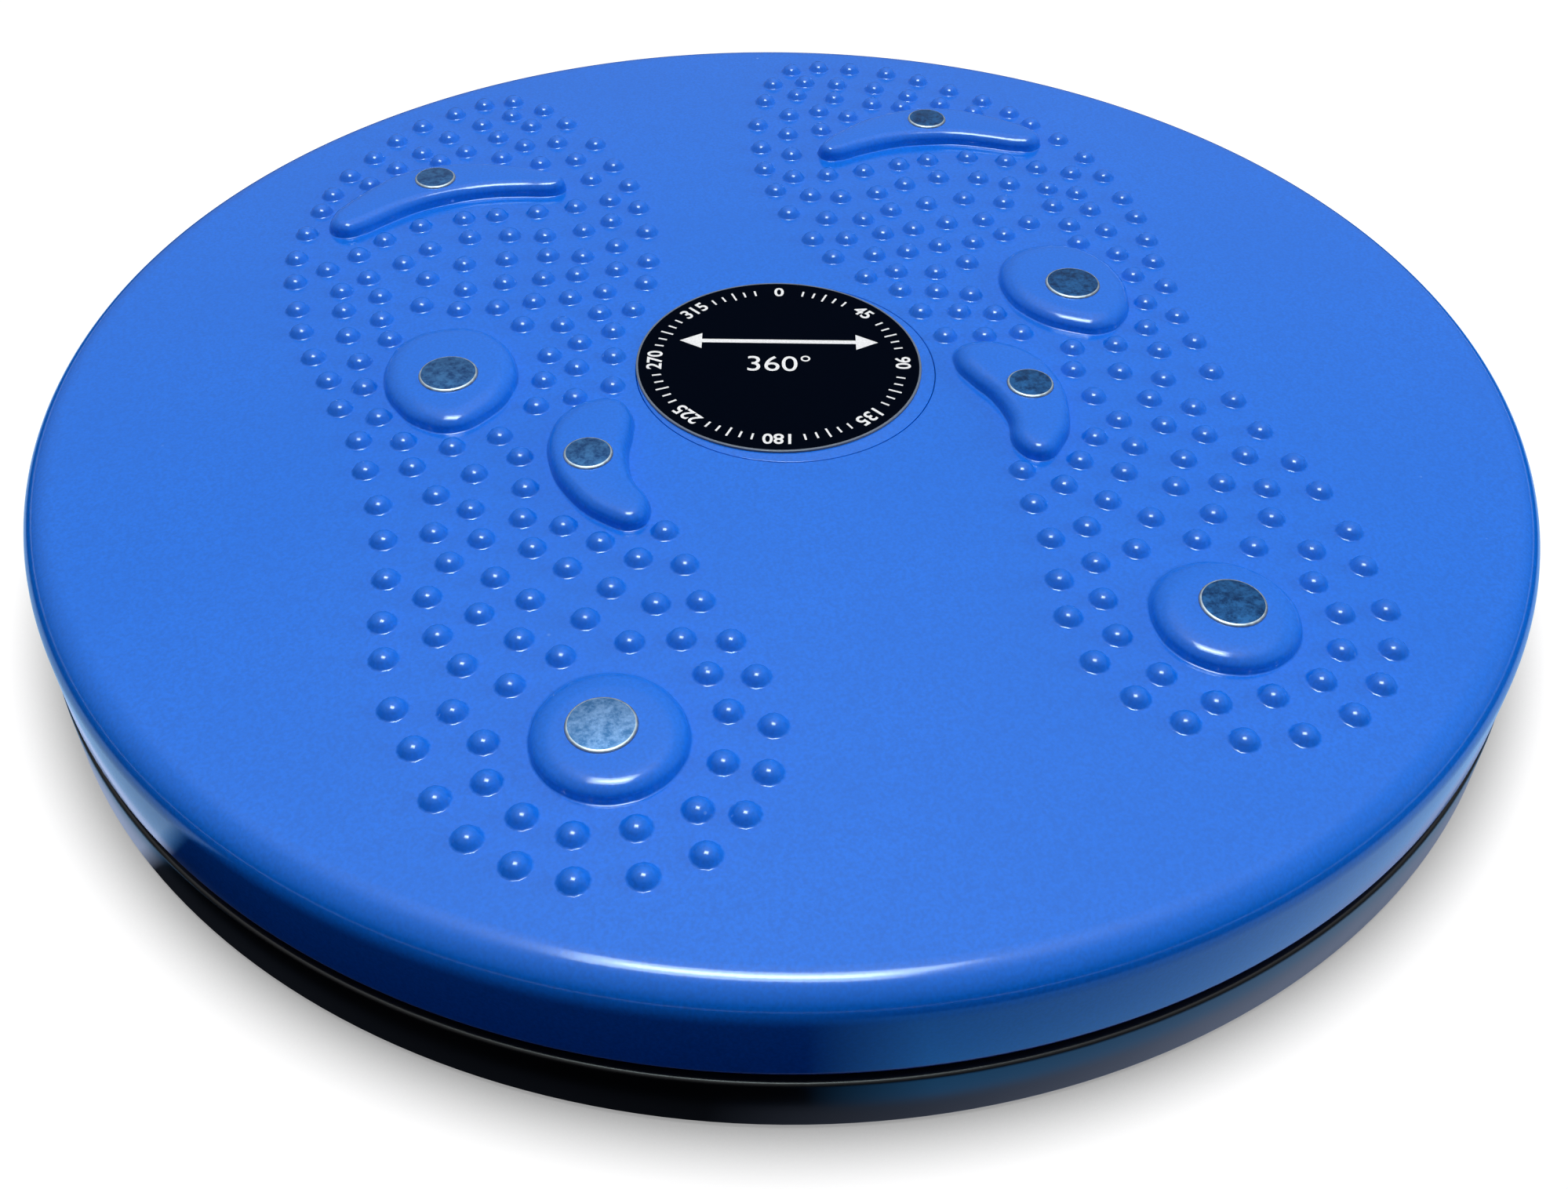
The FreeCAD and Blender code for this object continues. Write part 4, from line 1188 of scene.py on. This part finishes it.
class DISC_OT_magnets(bpy.types.Operator):
    """Model the round magnets in the pads"""
    bl_idname = "disc.magnets"
    bl_label = "Magnets"

    def execute(self, context):
        colours = context.scene.disc_magnets
        bevel = colours.bevel
        platings = {
            "left": plated_metal("magnet_plating_left", colours.left_light, colours.left_dark),
            # The right magnets take a darker copy of the plating: painted shade
            "right": plated_metal("magnet_plating_right", colours.right_shaded_light, colours.right_shaded_dark),
        }
        # One magnet takes a lighter copy of the plating: painted light
        brightened = plated_metal("worn_magnet_plating", colours.brightened, colours.left_light)
        # Bright steel that paints the lamp's glint on the magnets' edges
        glinting = bright_steel("rubbed_magnet_edge", colours.edge, 0.45)
        for kind in MAGNET_NAMES:
            for side_name, _ in SIDES:
                node = "%s_%s" % (kind, side_name)
                low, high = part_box(node)
                radius = (high.x - low.x) / 2
                middle = (low + high) / 2
                magnet = soft_disc(node + "_disc", radius, low.z, high.z, bevel, MAGNET_FACETS, middle)
                wear(magnet, brightened if node == BRIGHTENED_MAGNET else platings[side_name], glinting)
                # Bevel and side take the bright steel of the painted glint
                for face in magnet.data.polygons:
                    face.material_index = 0 if face.normal.z > FLAT else 1
                hand_over(magnet, "turntable", "magnet", node)
        return {"FINISHED"}


# Base


def base_profile(base):
    """Section of the base, from the bore in its hub round the web and the rim."""
    web_under = BASE_TOP - base.wall
    race_back = LOWER_RACE_LOW.z
    rim_inner = BASE_RADIUS - base.wall
    rim_bottom = BASE_LOW.z - RIM_DROP
    lip = RIM_LIP
    edge = base.edge_radius
    guard_outer = PLATE_RADIUS - GUARD_GAP
    guard_inner = guard_outer - GUARD_WALL
    guard_top = BASE_TOP + GUARD_HEIGHT
    profile = [
        (BUSH_BORE, BUSH_LOW.z), (NUT_POCKET, BUSH_LOW.z), (NUT_POCKET, HUB_LOW),
        (HUB_RADIUS, HUB_LOW), (HUB_RADIUS, web_under), (rim_inner, web_under), (rim_inner, rim_bottom),
    ]
    profile += arc((BASE_RADIUS - lip, rim_bottom + lip), lip, -90, 0, steps=3)
    profile += arc((BASE_RADIUS - BASE_DRAFT - edge, BASE_TOP - edge), edge, 0, 90, steps=6)
    profile += [
        (guard_outer, BASE_TOP), (guard_outer, guard_top), (guard_inner, guard_top), (guard_inner, BASE_TOP),
    ]
    profile += reversed(race_seat(LOWER_RACE_HIGH.x, race_back, BASE_TOP, race_back + SEAT_LIP))
    return profile + [(HUB_RADIUS, BASE_TOP), (HUB_RADIUS, BASE_HIGH.z), (BUSH_BORE, BASE_HIGH.z)]


class DISC_OT_base(bpy.types.Operator):
    """Model the black base with its ribs and the sockets of its feet"""
    bl_idname = "disc.base"
    bl_label = "Base"

    def execute(self, context):
        base = context.scene.disc_base
        moulding = turned("base_moulding", base_profile(base), base.segments)
        web_under = BASE_TOP - base.wall
        spans = ((HUB_RADIUS, BASE_RADIUS - base.wall),)
        join_by_boolean(moulding, radial_ribs("base_ribs", spans, web_under, BASE_RIB_DEPTH), "UNION")
        bosses, hollows = [], []
        for name in FOOT_NAMES:
            low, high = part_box(name)
            middle = (low + high) / 2
            radius = (high.x - low.x) / 2 + FOOT_PLAY
            mouth = high.z - SOCKET_DEPTH
            bosses.append(drum(name + "_boss", radius + SOCKET_WALL, mouth, web_under + PLAY, middle))
            hollows.append(drum(name + "_hollow", radius, mouth - base.wall, high.z, middle))
        join_by_boolean(moulding, joined(bosses, "foot_bosses"), "UNION")
        join_by_boolean(moulding, joined(hollows, "foot_hollows"), "DIFFERENCE")
        smooth(moulding, degrees=35)
        wear(moulding, moulded_plastic("black_moulded_plastic", base.colour, base.roughness))
        hand_over(moulding, "base", "black_plastic", "base_plate")
        dress_nodes(FOOT_NAMES, moulded_plastic("black_rubber", (0.02, 0.02, 0.02), 0.8, 0.2))
        return {"FINISHED"}


class DISC_OT_inner_pieces(bpy.types.Operator):
    """Dress the bearing and the pivot"""
    bl_idname = "disc.inner_pieces"
    bl_label = "Bearing and pivot"

    def execute(self, context):
        races = ("lower_race", "upper_race", "steel_washer")
        dress_nodes(races, bright_steel("race_steel", (0.55, 0.56, 0.58), 0.3))
        dress_nodes(("pivot_bolt", "lock_nut"), bright_steel("bolt_steel", (0.5, 0.5, 0.5), 0.35))
        dress_nodes(("bearing_balls",), bright_steel("ball_steel", (0.75, 0.75, 0.77), 0.12))
        dress_nodes(("ball_cage",), moulded_plastic("cage_plastic", (0.6, 0.6, 0.55), 0.45, 0.05))
        bushes = ("pivot_bush", "slip_washer")
        dress_nodes(bushes, moulded_plastic("bush_plastic", (0.75, 0.75, 0.7), 0.4, 0.05))
        return {"FINISHED"}


# Stage


def backward(stage):
    """Level direction away from the camera."""
    return Vector((-math.sin(stage.azimuth), math.cos(stage.azimuth), 0))


def make_floor(stage):
    """Pale floor: white with the object's shadow where it is seen, dim where it lights the object."""
    deselect()
    bpy.ops.mesh.primitive_plane_add(size=FLOOR_SIZE)
    floor = named("floor")
    material = bpy.data.materials.new("pale_floor")
    tree, surface = bare_tree(material)
    near = add_node(tree, "ShaderNodeAmbientOcclusion", [("Distance", CONTACT_REACH)], samples=16)
    contact = ramp(tree, near.outputs["AO"], 0.5, 1.0, CONTACT_SHADE, 1.0)
    glow = mixed(tree, contact, BLACK, stage.floor_glow)
    far_out = ramp(tree, way_out(tree, object_place(tree)), WHITE_FROM, WHITE_FULL)
    glow = mixed(tree, far_out, glow, WHITE)
    pale = add_node(tree, "ShaderNodeBsdfDiffuse", [("Color", stage.floor_colour)])
    shine = add_node(tree, "ShaderNodeEmission", [("Color", glow), ("Strength", 1.0)])
    both = add_node(tree, "ShaderNodeAddShader", [(0, pale.outputs[0]), (1, shine.outputs[0])])
    dim = add_node(tree, "ShaderNodeBsdfDiffuse", [("Color", stage.bounce_colour)])
    path = add_node(tree, "ShaderNodeLightPath").outputs
    through = maths(tree, "MAXIMUM", path["Is Glossy Ray"], path["Is Transmission Ray"])
    seen = maths(tree, "MAXIMUM", path["Is Camera Ray"], through)
    feed(tree, surface, blend(tree, seen, dim, both).outputs[0])
    wear(floor, material)


def make_card(stage):
    """Dark card round the base that only gloss sees, pale near the base outside its dark sector."""
    deselect()
    place = (0, 0, MM / 5)
    bpy.ops.mesh.primitive_circle_add(vertices=128, radius=CARD_RADIUS, fill_type="NGON", location=place)
    card = named("dark_card")
    rest_at_origin(card)
    material = bpy.data.materials.new("card_paint")
    tree, surface = bare_tree(material)
    place = object_place(tree)
    parts = add_node(tree, "ShaderNodeSeparateXYZ", [("Vector", place)])
    turn = maths(tree, "ARCTAN2", parts.outputs["Y"], parts.outputs["X"])
    radius = way_out(tree, place)
    left = ramp(tree, turn, DARK_FROM - CARD_BLUR, DARK_FROM + CARD_BLUR, 1.0, 0.0)
    near_right = ramp(tree, turn, NEAR_FROM, NEAR_FULL, DARK_STRENGTH, 1.0)
    far_right = ramp(tree, turn, FAR_FROM, FAR_FULL)
    outer = ramp(tree, radius, NEAR_RING, NEAR_RING + NEAR_RING_BLUR)
    side_on = maths(tree, "MAXIMUM", left, ramp(tree, turn, FAR_FULL, PALE_FROM))
    distant = mixed(tree, side_on, stage.front_glow, stage.far_glow)
    tone = mixed(tree, outer, stage.near_glow, distant)
    near_all = maths(tree, "MAXIMUM", maths(tree, "MULTIPLY", left, LEFT_STRENGTH), near_right)
    far_all = maths(tree, "MULTIPLY", maths(tree, "MAXIMUM", left, far_right), FAR_STRENGTH)
    reach = ramp(tree, radius, FAR_RING, FAR_RING + FAR_RING_BLUR, 1.0, 0.0)
    strength = maths(tree, "MULTIPLY", mixed(tree, outer, near_all, far_all), reach)
    glow = add_node(tree, "ShaderNodeEmission", [("Color", tone), ("Strength", strength)])
    feed(tree, surface, glow.outputs[0])
    wear(card, material)
    card.visible_camera = False
    card.visible_diffuse = False
    card.visible_transmission = False
    card.visible_shadow = False


def make_lamp(stage, name, power, place, size, glint):
    """Flat lamp that points at the middle of the floor, for light or for glints alone."""
    data = bpy.data.lights.new(name, "AREA")
    data.shape = "RECTANGLE"
    data.size, data.size_y = size
    data.energy = getattr(stage, power)
    if glint:
        data.color = GLINT_COLOUR
    lamp = bpy.data.objects.new(name, data)
    backwards, sideways, up = place
    back = backward(stage)
    lamp.location = back * backwards + Vector((back.y, -back.x, 0)) * sideways
    lamp.location.z = up
    lamp.rotation_mode = "QUATERNION"
    lamp.rotation_quaternion = (-lamp.location).to_track_quat("-Z", "Y")
    lamp.visible_glossy = glint
    lamp.visible_diffuse = not glint
    bpy.context.scene.collection.objects.link(lamp)


def closeness(tree, way, stage, tilt):
    """How close a direction is to the one that leans from straight up to the back."""
    bright = backward(stage) * math.sin(tilt) + Vector((0, 0, math.cos(tilt)))
    node = add_node(tree, "ShaderNodeVectorMath", [(0, way), (1, bright)], operation="DOT_PRODUCT")
    return node.outputs["Value"]


def make_world(scene, stage):
    """Soft sky, brighter overhead and at the back, white where it is seen."""
    world = bpy.data.worlds.new("studio")
    scene.world = world
    tree, surface = bare_tree(world, "ShaderNodeOutputWorld")
    path = add_node(tree, "ShaderNodeLightPath").outputs
    way = add_node(tree, "ShaderNodeTexCoord").outputs["Generated"]
    towards = closeness(tree, way, stage, SKY_TILT)
    sky = mixed(tree, ramp(tree, towards, *SKY_FADE), stage.sky_low, stage.sky_high)
    gloss = closeness(tree, way, stage, GLOSS_TILT)
    around = ramp(tree, gloss, *GLOSS_AROUND)
    window = ramp(tree, gloss, *GLOSS_WINDOW)
    strength = maths(tree, "ADD", around, window)
    soft = add_node(tree, "ShaderNodeBackground", [("Color", sky)])
    room = add_node(tree, "ShaderNodeBackground", [("Color", ROOM_COLOUR), ("Strength", strength)])
    white = add_node(tree, "ShaderNodeBackground", [("Color", WHITE)])
    lit = blend(tree, path["Is Glossy Ray"], soft, room)
    seen = maths(tree, "MAXIMUM", path["Is Camera Ray"], path["Is Transmission Ray"])
    feed(tree, surface, blend(tree, seen, lit, white).outputs[0])


def make_camera(scene, stage):
    """Camera at the picture's viewing angle."""
    data = bpy.data.cameras.new("camera")
    data.lens = stage.lens
    data.sensor_width = 36.0
    data.clip_start = 10 * MM
    away = backward(stage) * -math.cos(stage.elevation) + Vector((0, 0, math.sin(stage.elevation)))
    camera = bpy.data.objects.new("camera", data)
    camera.location = Vector(stage.aim) + away * stage.distance
    look = (-away).to_track_quat("-Z", "Y")
    camera.rotation_mode = "QUATERNION"
    camera.rotation_quaternion = look @ Matrix.Rotation(stage.roll, 3, "Z").to_quaternion()
    scene.collection.objects.link(camera)
    scene.camera = camera


class DISC_OT_stage(bpy.types.Operator):
    """Set up the floor, the lamps, the world and the camera"""
    bl_idname = "disc.stage"
    bl_label = "Stage"

    def execute(self, context):
        scene = context.scene
        stage = scene.disc_stage
        make_floor(stage)
        make_card(stage)
        for row in LAMPS:
            make_lamp(stage, *row)
        make_world(scene, stage)
        make_camera(scene, stage)
        scene.view_settings.view_transform = "Standard"
        return {"FINISHED"}


OPERATORS = (
    DISC_OT_foot_plate,
    DISC_OT_hub_cap,
    DISC_OT_centre_label,
    DISC_OT_magnets,
    DISC_OT_base,
    DISC_OT_inner_pieces,
    DISC_OT_stage,
)


class DISC_PT_panel(bpy.types.Panel):
    """Panel with the steps of the twisting disc"""
    bl_idname = "DISC_PT_panel"
    bl_label = "Twisting Disc"
    bl_space_type = "VIEW_3D"
    bl_region_type = "UI"
    bl_category = "Twisting Disc"

    def draw(self, context):
        for operator in OPERATORS:
            self.layout.operator(operator.bl_idname)


SETTINGS = (
    ("disc_plate", PlateSettings),
    ("disc_base", BaseSettings),
    ("disc_label", LabelSettings),
    ("disc_magnets", MagnetSettings),
    ("disc_stage", StageSettings),
)


def register():
    """Registers the settings, the steps and the panel."""
    for name, group in SETTINGS:
        bpy.utils.register_class(group)
        setattr(bpy.types.Scene, name, PointerProperty(type=group))
    for operator in OPERATORS:
        bpy.utils.register_class(operator)
    bpy.utils.register_class(DISC_PT_panel)


def unregister():
    """Takes the panel, the steps and the settings away."""
    bpy.utils.unregister_class(DISC_PT_panel)
    for operator in reversed(OPERATORS):
        bpy.utils.unregister_class(operator)
    for name, group in reversed(SETTINGS):
        delattr(bpy.types.Scene, name)
        bpy.utils.unregister_class(group)


def main():
    """Builds the whole scene."""
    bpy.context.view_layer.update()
    register()
    bpy.ops.disc.foot_plate()
    bpy.ops.disc.hub_cap()
    bpy.ops.disc.centre_label()
    bpy.ops.disc.magnets()
    bpy.ops.disc.base()
    bpy.ops.disc.inner_pieces()
    bpy.ops.disc.stage()
    deselect()


if __name__ == "__main__":
    main()
